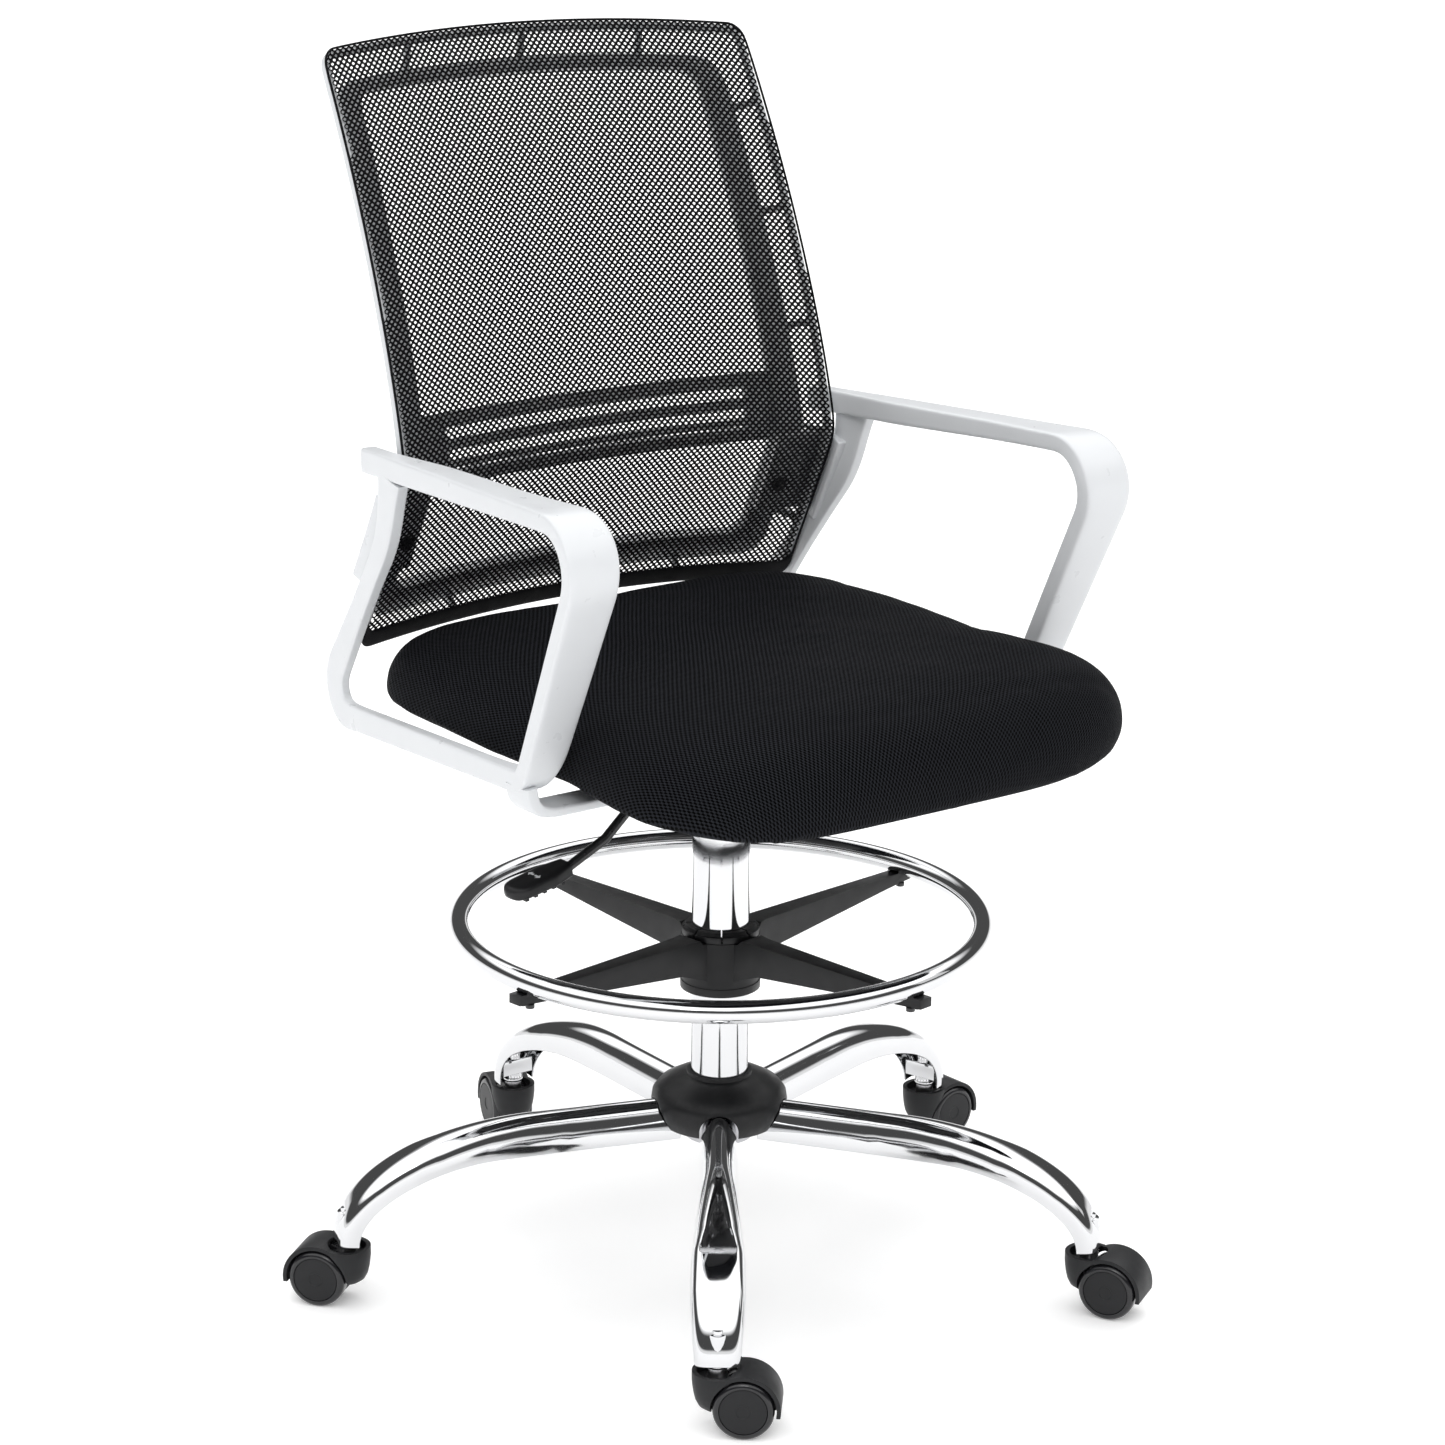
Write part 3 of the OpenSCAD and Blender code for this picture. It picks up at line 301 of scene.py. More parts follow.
class Shader:
    """A Principled material with a few helpers for its nodes."""

    def __init__(self, name, color, roughness, metallic=0.0):
        self.mat = bpy.data.materials.new(name)
        self.mat.use_nodes = True
        self.tree = self.mat.node_tree
        self.bsdf = self.tree.nodes["Principled BSDF"]
        self.set("Base Color", (*color, 1.0))
        self.set("Roughness", roughness)
        self.set("Metallic", metallic)
        self.coords = self.node("ShaderNodeTexCoord").outputs["Object"]
        self.height = None

    def set(self, name, value):
        self.bsdf.inputs[name].default_value = value

    def node(self, kind, inputs=None, **values):
        n = self.tree.nodes.new(kind)
        for key, value in values.items():
            setattr(n, key, value)
        for key, value in (inputs or {}).items():
            self.put(n.inputs[key], value)
        return n

    def put(self, socket, value):
        if isinstance(value, bpy.types.NodeSocket):
            self.tree.links.new(value, socket)
        else:
            socket.default_value = value

    def math(self, operation, a, b=0.0):
        return self.node("ShaderNodeMath", {0: a, 1: b}, operation=operation).outputs[0]

    def noise(self, scale, detail=2.0, roughness=0.5):
        n = self.node("ShaderNodeTexNoise", {
            "Vector": self.coords, "Scale": scale, "Detail": detail, "Roughness": roughness})
        return n.outputs["Fac"]

    def fade(self, value, low, high, to_low=0.0, to_high=1.0):
        n = self.node("ShaderNodeMapRange", {
            "Value": value, "From Min": low, "From Max": high, "To Min": to_low, "To Max": to_high})
        return n.outputs["Result"]

    def blend(self, factor, a, b):
        n = self.node("ShaderNodeMix", data_type="RGBA")
        self.put(n.inputs["Factor"], factor)
        self.put(n.inputs[6], (*a, 1.0) if isinstance(a, tuple) else a)
        self.put(n.inputs[7], (*b, 1.0) if isinstance(b, tuple) else b)
        return n.outputs[2]

    def link(self, name, value):
        self.tree.links.new(value, self.bsdf.inputs[name])

    def bump(self, height, distance, strength=1.0):
        inputs = {"Height": height, "Distance": distance, "Strength": strength}
        if self.height is not None:
            inputs["Normal"] = self.height
        self.height = self.node("ShaderNodeBump", inputs).outputs["Normal"]
        self.link("Normal", self.height)
        return self


def chrome_material():
    s = Shader("chrome_plating", (0.66, 0.668, 0.68), 0.06, 1.0)
    s.link("Roughness", s.fade(s.noise(38, 3), 0.3, 0.75, 0.045, 0.09))
    s.link("Base Color", s.blend(s.noise(9, 2), (0.64, 0.646, 0.66), (0.69, 0.692, 0.70)))
    return s.bump(s.noise(14, 1), 0.00025, 0.5).mat


def steel_material(name, color, rough):
    s = Shader(name, color, rough, 1.0)
    s.link("Roughness", s.fade(s.noise(160, 3), 0.3, 0.7, rough - 0.07, rough + 0.08))
    return s.bump(s.noise(900, 2), 0.00003, 0.5).mat


def moulded_material(name, color, rough, grain=1400, depth=0.00006, tone=0.25, specular=0.5):
    """Moulded plastic: fine spark grain, slight tone changes, soft sheen spots."""
    s = Shader(name, color, rough)
    s.set("Specular IOR Level", specular)
    dark = tuple(c * (1 - tone) for c in color)
    light = tuple(min(1.0, c * (1 + tone)) for c in color)
    s.link("Base Color", s.blend(s.noise(26, 4), dark, light))
    s.link("Roughness", s.fade(s.noise(60, 3), 0.3, 0.7, rough - 0.05, rough + 0.07))
    s.bump(s.noise(grain, 2, 0.6), depth, 0.8)
    return s.bump(s.noise(12, 1), 0.0004, 0.15).mat


def painted_material(name, color, rough):
    s = Shader(name, color, rough)
    s.set("Coat Weight", 0.25)
    s.set("Coat Roughness", 0.2)
    s.link("Roughness", s.fade(s.noise(90, 3), 0.3, 0.7, rough - 0.06, rough + 0.08))
    return s.bump(s.noise(520, 2), 0.00005, 0.6).mat


def spacer_fabric():
    """Black spacer mesh: staggered dimples 4.1 mm apart across and 6.1 mm along, over fine knit, with painted
    shade making the dimples near-black.
    """
    s = Shader("spacer_fabric", (0.006, 0.0064, 0.0078), 0.65)
    s.set("Sheen Weight", 0.004)
    s.set("Sheen Roughness", 0.4)
    s.set("Specular IOR Level", 0.02)
    split = s.node("ShaderNodeSeparateXYZ", {"Vector": s.coords})
    x, y, z = split.outputs["X"], split.outputs["Y"], split.outputs["Z"]
    drop = s.math("SUBTRACT", z, 0.558)
    side = s.fade(x, -0.2, 0.2, -1.0, 1.0)
    # the lattice runs on over the front lip and down the sides
    across = s.math("SUBTRACT", x, s.math("MULTIPLY", drop, side))
    along = s.math("ADD", y, s.math("MULTIPLY", drop, 0.9))
    drift = s.math("MULTIPLY", s.math("SUBTRACT", s.noise(6, 2), 0.5), 0.012)
    u = s.math("MULTIPLY", s.math("ADD", across, drift), 2 * math.pi / 0.00414)
    v = s.math("MULTIPLY", s.math("ADD", along, drift), 2 * math.pi / 0.0061)
    cell = s.math("MULTIPLY", s.math("COSINE", u), s.math("COSINE", v))
    dimple_and_shade = s.fade(cell, -0.15, 0.35)
    fine = s.noise(2600, 2)
    wear = s.noise(7, 3)
    tone = s.blend(wear, (0.0130, 0.0140, 0.0170), (0.0200, 0.0212, 0.0250))
    # painted shade: the dimples are coloured near-black as if shaded in their hollows; the same mask also
    # sinks them in the bump below
    s.link("Base Color", s.blend(dimple_and_shade, tone, (0.0003, 0.0003, 0.0004)))
    s.link("Roughness", s.fade(wear, 0.3, 0.7, 0.55, 0.70))
    height = s.math("SUBTRACT", s.math("MULTIPLY", fine, 0.2), dimple_and_shade)
    return s.bump(height, 0.0014, 0.9).mat


def net_thread():
    """Thread of the back's open mesh, with the twist of its strands."""
    s = Shader("net_thread", (0.006, 0.0062, 0.0072), 0.6)
    s.set("Sheen Weight", 0.008)
    s.set("Sheen Roughness", 0.5)
    s.set("Specular IOR Level", 0.06)
    tone = s.noise(15, 3)
    s.link("Base Color", s.blend(tone, (0.0025, 0.0026, 0.0032), (0.005, 0.0052, 0.0062)))
    s.link("Roughness", s.fade(tone, 0.3, 0.7, 0.5, 0.68))
    wave = s.node("ShaderNodeTexWave", {
        "Vector": s.coords, "Scale": 420.0, "Distortion": 2.5, "Detail": 2.0, "Detail Scale": 2.0},
        bands_direction="Z")
    return s.bump(wave.outputs["Fac"], 0.00012, 0.7).mat


def wheel_material():
    s = Shader("wheel_face", (0.011, 0.0114, 0.013), 0.42)
    s.set("Specular IOR Level", 0.3)
    s.link("Base Color", s.blend(s.noise(40, 3), (0.007, 0.0072, 0.0084), (0.0125, 0.0129, 0.0146)))
    return s.bump(s.noise(1500, 2), 0.00005, 0.7).mat


CHROME = chrome_material()
ZINC = steel_material("zinc_plating", (0.55, 0.55, 0.57), 0.34)
BLACK_NYLON = moulded_material("black_nylon", (0.009, 0.0092, 0.0102), 0.42, specular=0.3)
HOOD_NYLON = moulded_material("hood_nylon", (0.012, 0.0124, 0.0138), 0.48, specular=0.3)
WHITE = moulded_material("white_plastic", (0.68, 0.695, 0.713), 0.32, 1100, 0.00003, 0.012)
FRAME_WHITE = moulded_material("frame_plastic", (0.67, 0.685, 0.703), 0.38, 1100, 0.00003, 0.02)
BLACK_STEEL = painted_material("black_powder_coat", (0.012, 0.012, 0.013), 0.30)
WHEEL_FACE_MAT = wheel_material()
WHEEL_RIM_MAT = moulded_material("wheel_rim", (0.012, 0.012, 0.014), 0.16, 900, 0.00001, 0.1)
FABRIC = spacer_fabric()
THREAD = net_thread()
HEM = moulded_material("mesh_hem", (0.0045, 0.0047, 0.0056), 0.62, 2200, 0.00025, 0.3, 0.08)


# ---- star base --------------------------------------------------------------

def leg_matrix(i):
    return Matrix.Rotation(math.radians(-90 - BASE_TURN + 72 * i), 4, "Z")


def leg_edge(t, start_r, end_r, high, low):
    if t < BEND_START:
        return np.array([mix(40, start_r, t / BEND_START), high])
    a = math.radians(90 * (t - BEND_START) / (1 - BEND_START))
    return np.array([start_r + (end_r - start_r) * math.sin(a), low + (high - low) * math.cos(a)])


def leg_top(t):
    return leg_edge(t, BASE_R - 170, BASE_R + 10, LEG_TOP_Z, LEG_END_Z)


def leg_low(t):
    return leg_edge(t, BASE_R - 134, BASE_R - 7, LEG_TOP_Z - LEG_HEIGHT, LEG_END_Z - 2)


# width across by share of the leg's length
LEG_WIDTH = [(0, 33), (0.25, 33), (0.42, 37), (0.62, 45), (0.75, 45), (1, 38)]
# exponent of the section: round near the hub, flatter on top towards the end
LEG_SHAPE = [(0, 2.1), (0.3, 2.2), (0.56, 2.7), (0.62, 3.4), (1, 3.9)]


def leg_arch(t, inset, count):
    low, high = leg_low(t), leg_top(t)
    up = unit(high - low)
    depth = np.linalg.norm(high - low) - inset
    w = lookup(t, LEG_WIDTH) / 2 - inset
    e = 2 / lookup(t, LEG_SHAPE)
    ring = []
    for k in range(count + 1):
        a = math.pi * k / count
        x = w * signed_pow(math.cos(a), e)
        h = depth * max(0.0, math.sin(a)) ** e
        ring.append((low[0] + up[0] * h, x, low[1] + up[1] * h))
    return ring


def leg(i):
    stations, outer_n, inner_n = 84, 36, 24
    rings = []
    for s in range(stations + 1):
        t = s / stations
        outer = leg_arch(t, 0, outer_n)
        inner = leg_arch(t, LEG_WALL, inner_n)[::-1]
        rings.append(outer + inner)
    part = moved(grid(rings), leg_matrix(i))
    obj = piece(f"leg_{i + 1}_pressing", part, "base", CHROME, (f"leg_{i + 1}",), angle=40)
    soften(obj, 0.6, 2, 50)


def base():
    for i in range(5):
        leg(i)
    dressed("hub_cover", BLACK_NYLON, 0.8, 3)
    dressed("leg_bolts", BLACK_STEEL, 0.5)
    dressed("caster_sockets", CHROME, 0.5)
    dressed("base_hub", ZINC, 0.4)
    dressed("leg_nut_plates", ZINC, 0.3)


# ---- casters ----------------------------------------------------------------

def caster_matrix(i):
    stem = leg_matrix(i) @ Vector((BASE_R, 0, 0))
    return Matrix.Translation(stem) @ Matrix.Rotation(math.radians(CASTER_HEADING[i]), 4, "Z")


def wheel(i, side):
    """Turned wheel: glossy rounded rim, groove, and a flat grained face."""
    r, w = WHEEL_R, WHEEL_FACE + WHEEL_W
    rim = [
        (AXLE_R + 0.05, WHEEL_FACE), (r - 4, WHEEL_FACE), (r - 1.6, WHEEL_FACE + 0.3),
        (r - 0.5, WHEEL_FACE + 1.0), (r, WHEEL_FACE + 2.4)]
    for k in range(9):
        a = math.radians(90 * k / 8)
        rim.append((r - 4.6 + 4.6 * math.cos(a), w - 4.6 + 4.6 * math.sin(a)))
    rim += [(r - 5.2, w - 0.1), (r - 5.5, w - 0.9), (r - 5.5, w - 4), (AXLE_R + 0.05, w - 4)]
    face = [(AXLE_R + 0.06, w - 3.6), (r - 5.6, w - 3.6), (r - 5.6, w - 0.7), (r - 6.0, w - 0.25),
            (r - 7.0, w - 0.15), (6, w - 0.5), (5.5, w - 0.9), (0.01, w - 0.95), (0.01, w - 3.6)]
    turn = caster_matrix(i) @ Matrix.Translation((CASTER_TRAIL, 0, WHEEL_R)) \
        @ Matrix.Rotation(math.radians(-90 if side > 0 else 90), 4, "X")
    letter = "a" if side > 0 else "b"
    node = f"caster_{i + 1}_wheel_{letter}"
    piece(node + "_rim", moved(lathe(rim, 72), turn), node, WHEEL_RIM_MAT, (node,))
    piece(node + "_face", moved(lathe(face, 72), turn), node, WHEEL_FACE_MAT)


def hood_taper(i):
    """Solid outside the stem housing's tapered foot, on the side away from the wheels."""
    profile = [(20.7, 46), (20.1, 40), (19.3, 34), (17.9, 28), (15.4, 23), (11.0, 19.8), (6, 18.2), (6, 12),
               (34, 12), (34, 46)]
    rings = []
    for k in range(25):
        a = math.radians(88 + 184 * k / 24)
        rings.append([(r * math.cos(a), r * math.sin(a), z) for r, z in profile])
    return moved(grid(rings), caster_matrix(i))


def casters():
    for i in range(5):
        dressed(f"caster_{i + 1}_hood", HOOD_NYLON, 0.9, 3, cut=hood_taper(i))
        dressed(f"caster_{i + 1}_stem", ZINC, 0.4)
        dressed(f"caster_{i + 1}_axle", ZINC, 0.3)
        for side in (1, -1):
            wheel(i, side)


# ---- column and foot ring ---------------------------------------------------

def column():
    top, foot = COLUMN_TOP_Z, COLUMN_FOOT_Z
    tube = [(COLUMN_R - 2, foot + 4), (COLUMN_R - 2, top - 0.5), (COLUMN_R - 1.5, top),
            (COLUMN_R - 0.6, top), (COLUMN_R, top - 0.6), (COLUMN_R, foot + 1), (COLUMN_R - 1, foot),
            (5.3, foot), (5.3, foot + 4)]
    piece("column_tube", lathe(tube, 128), "base", CHROME, ("outer_column",), angle=30)
    dressed("guide_bush", BLACK_NYLON, 0.5)
    dressed("thrust_bearing", ZINC, 0.2)
    dressed("piston_rod", ZINC, 0.3)
    dressed("retaining_clip", ZINC, 0.2)
    dressed("gas_cylinder", BLACK_STEEL, 0.4)
    dressed("release_button", ZINC, 0.4)


def foot_ring():
    profile = [(RING_R + RING_TUBE_R * math.cos(a), RING_Z + RING_TUBE_R * math.sin(a))
               for a in np.linspace(0, 2 * math.pi, 40, endpoint=False)]
    piece("foot_ring_tube", lathe(profile, 256), "ring", CHROME, ("foot_ring",), angle=60)
    dressed("ring_hub", BLACK_NYLON, 1.2, 3)
    dressed("ring_collet", BLACK_NYLON, 0.4, 2)
    dressed("ring_screws", BLACK_STEEL, 0.4)


# ---- seat -------------------------------------------------------------------

def seat_half(y):
    return lookup(y, [(-220, SEAT_FRONT_W / 2), (-108, SEAT_WAIST_W / 2), (-92, SEAT_WAIST_W / 2),
                      (-10, SEAT_WAIST_W / 2 + 3), (100, SEAT_WAIST_W / 2), (SEAT_REAR_Y, SEAT_REAR_W / 2)])


def seat_plan(share, shrink, count):
    """Outline of the cushion at a share of its size, as (x, y, lip) with lip 1 at the front edge."""
    rows = []
    for k in range(count):
        t = 2 * math.pi * k / count
        e = 4.9 if math.sin(t) < 0 else 6.5
        px, py = signed_pow(math.cos(t), 2 / e), signed_pow(math.sin(t), 2 / e)
        y = (SEAT_FRONT_Y if py < 0 else SEAT_REAR_Y) * py
        x, y = share * seat_half(y) * px, share * y
        length = max(1.0, math.hypot(x, y))
        rows.append((x - shrink * x / length, y - shrink * y / length, max(0.0, -py) ** 6))
    return rows


def cushion_source(shrink):
    """Closed skin from the underside round the edge to the crown, a little smaller than the pad."""
    rise = SEAT_CROWN_Z - SEAT_EDGE_Z
    layers = [(0.4, SEAT_BASE_Z, 0), (0.84, SEAT_BASE_Z, 0), (0.91, SEAT_BASE_Z, 0.75),
              (0.965, SEAT_BASE_Z + 1.5, 1), (0.99, SEAT_BASE_Z + 5, 0.85), (1, SEAT_EDGE_Z, 0.35)]
    for share in (0.997, 0.99, 0.975, 0.95, 0.92, 0.88, 0.82, 0.74, 0.62, 0.45, 0.25):
        height = (1 - share ** 10) ** 0.4545
        layers.append((share, SEAT_EDGE_Z + rise * (0.97 * height + 0.03 * (1 - share)),
                       0.35 * (1 - height) ** 2))
    rings = []
    for share, z, lip in layers:
        inward = shrink if z > SEAT_BASE_Z + 4 else shrink * 0.6
        z = z - shrink * max(0.0, (z - SEAT_EDGE_Z) / rise)
        rings.append([(x, y, z + 0.6 - SEAT_LIP * lip * q) for x, y, q in seat_plan(share, inward, 160)])
    return grid(rings)


def cushion():
    """The crowned seat: blown up gently by a cloth simulation, then closed at the front lip's crease."""
    obj = piece("seat_pad", cushion_source(CUSHION_SHRINK), "seat", FABRIC, ("seat_cushion",))
    modifier(obj, "REMESH", mode="VOXEL", voxel_size=VOXEL * MM)
    apply_modifiers(obj)
    start = np.empty(len(obj.data.vertices) * 3)
    obj.data.vertices.foreach_get("co", start)
    start = start.reshape(-1, 3)
    moved_to = start.copy()
    cloth = modifier(obj, "CLOTH")
    cloth.settings.use_pressure = True
    cloth.settings.uniform_pressure_force = CLOTH_PRESSURE
    cloth.settings.effector_weights.gravity = 0.0
    cloth.settings.quality = 4
    for number in range(1, CLOTH_FRAMES + 1):
        bpy.context.scene.frame_set(number)
    depsgraph = bpy.context.evaluated_depsgraph_get()
    blown = obj.evaluated_get(depsgraph).to_mesh()
    values = np.empty(len(blown.vertices) * 3)
    blown.vertices.foreach_get("co", values)
    moved_to = values.reshape(-1, 3)
    obj.modifiers.clear()
    bpy.context.scene.frame_set(1)
    step = moved_to - start
    length = np.linalg.norm(step, axis=1, keepdims=True)
    step *= np.minimum(1.0, CUSHION_CAP * MM / np.maximum(length, 1e-9))
    obj.data.vertices.foreach_set("co", shape_cushion(start + step).ravel())
    obj.data.update()
    modifier(obj, "SUBSURF", levels=1, render_levels=1)
    apply_modifiers(obj)
    shade(obj, 180)
    return obj


def shape_cushion(place):
    """Flattens the underside, presses the creases of the front lip, adds the slow unevenness of foam."""
    p = place.copy()
    x, y = p[:, 0], p[:, 1]
    inside = (np.abs(x) < 0.205) & (y > -0.225) & (y < 0.185)
    flat = inside & (p[:, 2] < (SEAT_BASE_Z + 12) * MM)
    p[flat, 2] = np.maximum(p[flat, 2], (SEAT_BASE_Z + 0.3) * MM)
    # the arms' front posts press in the sides
    post = np.exp(-((y + 0.100) / 0.020) ** 2) * np.clip((np.abs(x) - 0.2) / 0.03, 0, 1)
    limit = (SEAT_WAIST_W / 2 + 4) * MM
    p[:, 0] = np.where(post > 0.3, np.clip(x, -limit, limit), x)
    # soft crease where the top panel turns down over the front
    crease = np.exp(-((y + 0.252) / 0.007) ** 2) * np.clip((p[:, 2] - 0.53) / 0.01, 0, 1)
    p[:, 2] -= 0.0016 * crease
    top = np.clip((p[:, 2] - 0.525) / 0.02, 0, 1)
    hollow = np.exp(-((p[:, 0] / 0.15) ** 2 + ((p[:, 1] - 0.02) / 0.14) ** 2))
    p[:, 2] -= 0.0030 * top * hollow
    for k in range(len(p)):
        v = Vector(p[k])
        p[k, 2] += 0.0011 * top[k] * noise.noise(v * 11.0) + 0.0004 * top[k] * noise.noise(v * 37.0)
    return p


def lever():
    """Bent rod and its ribbed paddle with an arrow sign."""
    dressed("release_lever", BLACK_STEEL, 0.3)
    tilt = math.radians(12)
    to_paddle = Matrix.Translation((-173.5, -20, 401)) @ Matrix.Rotation(-tilt, 4, "Y")
    rings = []
    for k in range(33):
        s = k / 32
        x = -2 - 60 * s
        w = 15.0 * math.sqrt(max(0.0, 1 - max(0.0, (s - 0.72) / 0.28) ** 2)) * mix(0.62, 1, min(1, s * 3.2))
        h = mix(6.6, 5.8, s) * (math.sqrt(max(0.0, 1 - max(0.0, (s - 0.88) / 0.12) ** 2)))
        rings.append([(x, q[0], q[1]) for q in superellipse(max(w, 0.3), max(h, 0.3), 4, 40)])
    body = moved(grid(rings), to_paddle)
    piece("paddle_body", body, "height_lever", BLACK_NYLON, ("lever_paddle",), angle=50)
    ribs = []
    for k in range(5):
        x = -14 - 9 * k
        ribs.append(box_part((x - 1.6, -11, -7.6), (x + 1.6, 11, -4.0)))
    piece("paddle_ribs", moved(merged(*ribs), to_paddle), "height_lever", BLACK_NYLON)
    sign = []
    for flip in (1, -1):
        cx, y0 = -33, 0.8 * flip
        neck, tip = y0 + 4 * flip, y0 + 7.6 * flip
        sign.append(prism([(cx - 1.1, y0), (cx + 1.1, y0), (cx + 1.1, neck), (cx - 1.1, neck)], 5.4, 6.2))
        sign.append(prism([(cx - 3.2, neck), (cx + 3.2, neck), (cx, tip)], 5.4, 6.2))
    arrows = moved(merged(*sign), to_paddle)
    piece("paddle_sign", arrows, "height_lever", FRAME_WHITE, angle=20)


def box_part(low, high):
    x0, y0, z0 = low
    x1, y1, z1 = high
    rings = [[(x0, y0, z), (x1, y0, z), (x1, y1, z), (x0, y1, z)] for z in (z0, z1)]
    return grid(rings)


def prism(outline, z0, z1):
    return grid([[(x, y, z) for x, y in outline] for z in (z0, z1)])


def seat():
    cushion()
    dressed("seat_pan", BLACK_NYLON, 1.0, 2)
    dressed("seat_mechanism", BLACK_STEEL, 1.0, 2)
    dressed("seat_bolts", ZINC, 0.5)
    dressed("arm_bolts", ZINC, 0.5)
    lever()


# ---- arms -------------------------------------------------------------------

# corners of the loop in side view: (y, z, corner radius), from the pad's rear end forward and round
ARM_LINE = [
    (178, PAD_Z, 0), (-203, PAD_Z + 15, 38), (-100, 511, 9), (272, 480, 25), (139, 657, 120),
    (129, PAD_Z - 6, 0)]
# width across and thickness, by corner number along the loop
ARM_WIDTH = [
    (0, 16), (0.1, 17), (0.3, 28), (0.6, 33), (0.85, PAD_W - 5), (1, PAD_W), (1.5, 42), (1.75, 38),
    (2, 31), (2.25, 14), (2.8, 9.5), (3.2, 9.5), (3.7, 11), (4, 12.5), (5, 12.5)]
ARM_THICK = [
    (0, 21), (0.3, 20), (0.7, 16.5), (1, 16), (1.8, 16), (2, 20), (2.3, 19), (2.8, 22),
    (3, 34), (3.2, 30), (3.5, 23), (3.8, 22), (4, 27), (5, 40)]


def corner(p, q, r, radius, key, steps):
    p, q, r = (np.array(v[:2], float) for v in (p, q, r))
    d1, d2 = unit(p - q), unit(r - q)
    half = math.acos(max(-1, min(1, float(d1 @ d2)))) / 2
    run = radius / math.tan(half)
    centre = q + unit(d1 + d2) * radius / math.sin(half)
    start, finish = q + d1 * run - centre, q + d2 * run - centre
    a0 = math.atan2(start[1], start[0])
    turn = math.atan2(start[0] * finish[1] - start[1] * finish[0], float(start @ finish))
    return [(centre[0] + radius * math.cos(a0 + turn * k / steps),
             centre[1] + radius * math.sin(a0 + turn * k / steps),
             key - 0.2 + 0.4 * k / steps) for k in range(steps + 1)]


def arm_path():
    rows = [(ARM_LINE[0][0], ARM_LINE[0][1], 0.0)]
    for k in range(1, 5):
        rows += corner(ARM_LINE[k - 1], ARM_LINE[k], ARM_LINE[k + 1], ARM_LINE[k][2], k, 24)
    rows.append((ARM_LINE[5][0], ARM_LINE[5][1], 5.0))
    return resample(rows, 3.0)


def arm_face(y):
    return ARM_OUTER_X - ARM_SPREAD * y


def arm_loop(sign):
    path = arm_path()
    widths = np.array([lookup(r[2], ARM_WIDTH) for r in path])
    thicks = np.array([lookup(r[2], ARM_THICK) for r in path])
    widths = smooth_rows(widths, 40)
    thicks = smooth_rows(thicks, 40)
    line = smooth_rows(path[:, :2], 6)
    rings = []
    count = len(line)
    for i in range(count):
        tangent = unit(line[min(i + 1, count - 1)] - line[max(i - 1, 0)])
        normal = np.array([-tangent[1], tangent[0]])
        w, t = widths[i], thicks[i]
        ring = []
        for q in superellipse(w / 2, t / 2, 7, 64):
            y, z = line[i] + normal * q[1]
            ring.append((sign * (arm_face(y) - w / 2 + q[0]), y, z))
        rings.append(ring)
    centre = np.mean(np.array(rings[0]), axis=0)
    cap = []
    for k in range(1, 9):
        a = math.radians(90 * k / 9)
        scale = math.sin(a)
        cap.append([tuple(centre + (np.array(p) - centre) * scale + np.array([0, 7 * (1 - scale * scale), 0]))
                    for p in rings[0]])
    return grid(cap + rings)


# foot that runs under the seat: (x, z, thickness)
ARM_FOOT = [(270, 508, 11), (269, 497, 11), (263, 488.5, 10), (250, 484.8, 8), (200, 484.8, 8),
            (128, 484.8, 8)]


def arm_foot(sign):
    line = resample([(a, b, c) for a, b, c in ARM_FOOT], 3.0)
    line = np.c_[smooth_rows(line[:, :2], 5), line[:, 2]]
    rings = []
    for i in range(len(line)):
        tangent = unit(line[min(i + 1, len(line) - 1), :2] - line[max(i - 1, 0), :2])
        normal = np.array([-tangent[1], tangent[0]])
        rings.append([(sign * (line[i, 0] + normal[0] * q[0]), -96 + q[1], line[i, 1] + normal[1] * q[0])
                      for q in rounded_rect(line[i, 2] / 2, 16, 2.5, 4)])
    return grid(rings)


def arm_ear(sign):
    near = MEMBER_FRONT - 0.6 - EAR_T
    section = [(-12, -6), (-12, near + EAR_T), (46, near + EAR_T), (46, near), (-3, near), (-3, -6)]
    rings = []
    for k in range(33):
        z = mix(EAR_LOW_Z, EAR_HIGH_Z, k / 32)
        rings.append([back_at(sign * (back_half(z) - c[0]), z, c[1]) for c in section])
    return grid(rings)


def arms():
    for name, sign in (("right", -1), ("left", 1)):
        piece(f"arm_{name}_loop", arm_loop(sign), "seat", WHITE, (f"arm_{name}",), angle=60)
        piece(f"arm_{name}_foot", arm_foot(sign), "seat", WHITE, angle=40)
        ear = piece(f"arm_{name}_bracket", arm_ear(sign), "seat", WHITE, angle=40)
        soften(ear, 1.5, 3, 50)


# ---- back -------------------------------------------------------------------

def back_half(z):
    return mix(BACK_LOW_W, BACK_HIGH_W, (z - BACK_LOW_Z) / (BACK_HIGH_Z - BACK_LOW_Z))


def back_edge_y(z):
    below = LUMBAR_Y + (LUMBAR_Z - z) * 0.52
    above = LUMBAR_Y + (z - LUMBAR_Z) * 0.225 + max(0.0, z - LUMBAR_Z) ** 2 * 0.00048
    return (below + above + math.sqrt((below - above) ** 2 + 100)) / 2


def bow(z):
    return BACK_BOW - 6 * min(1.0, max(0.0, (z - LUMBAR_Z) / (BACK_HIGH_Z - LUMBAR_Z)))


def back_y(x, z):
    return back_edge_y(z) + bow(z) * (1 - (x / back_half(z)) ** 2)


def back_normal(x, z):
    e = 0.5
    return unit([-(back_y(x + e, z) - back_y(x - e, z)) / (2 * e), 1,
                 -(back_y(x, z + e) - back_y(x, z - e)) / (2 * e)])


def back_at(x, z, depth):
    return tuple(np.array([x, back_y(x, z), z]) + depth * back_normal(x, z))


def arched(x, z):
    return z + BACK_ARCH * (1 - (x / back_half(z)) ** 2)


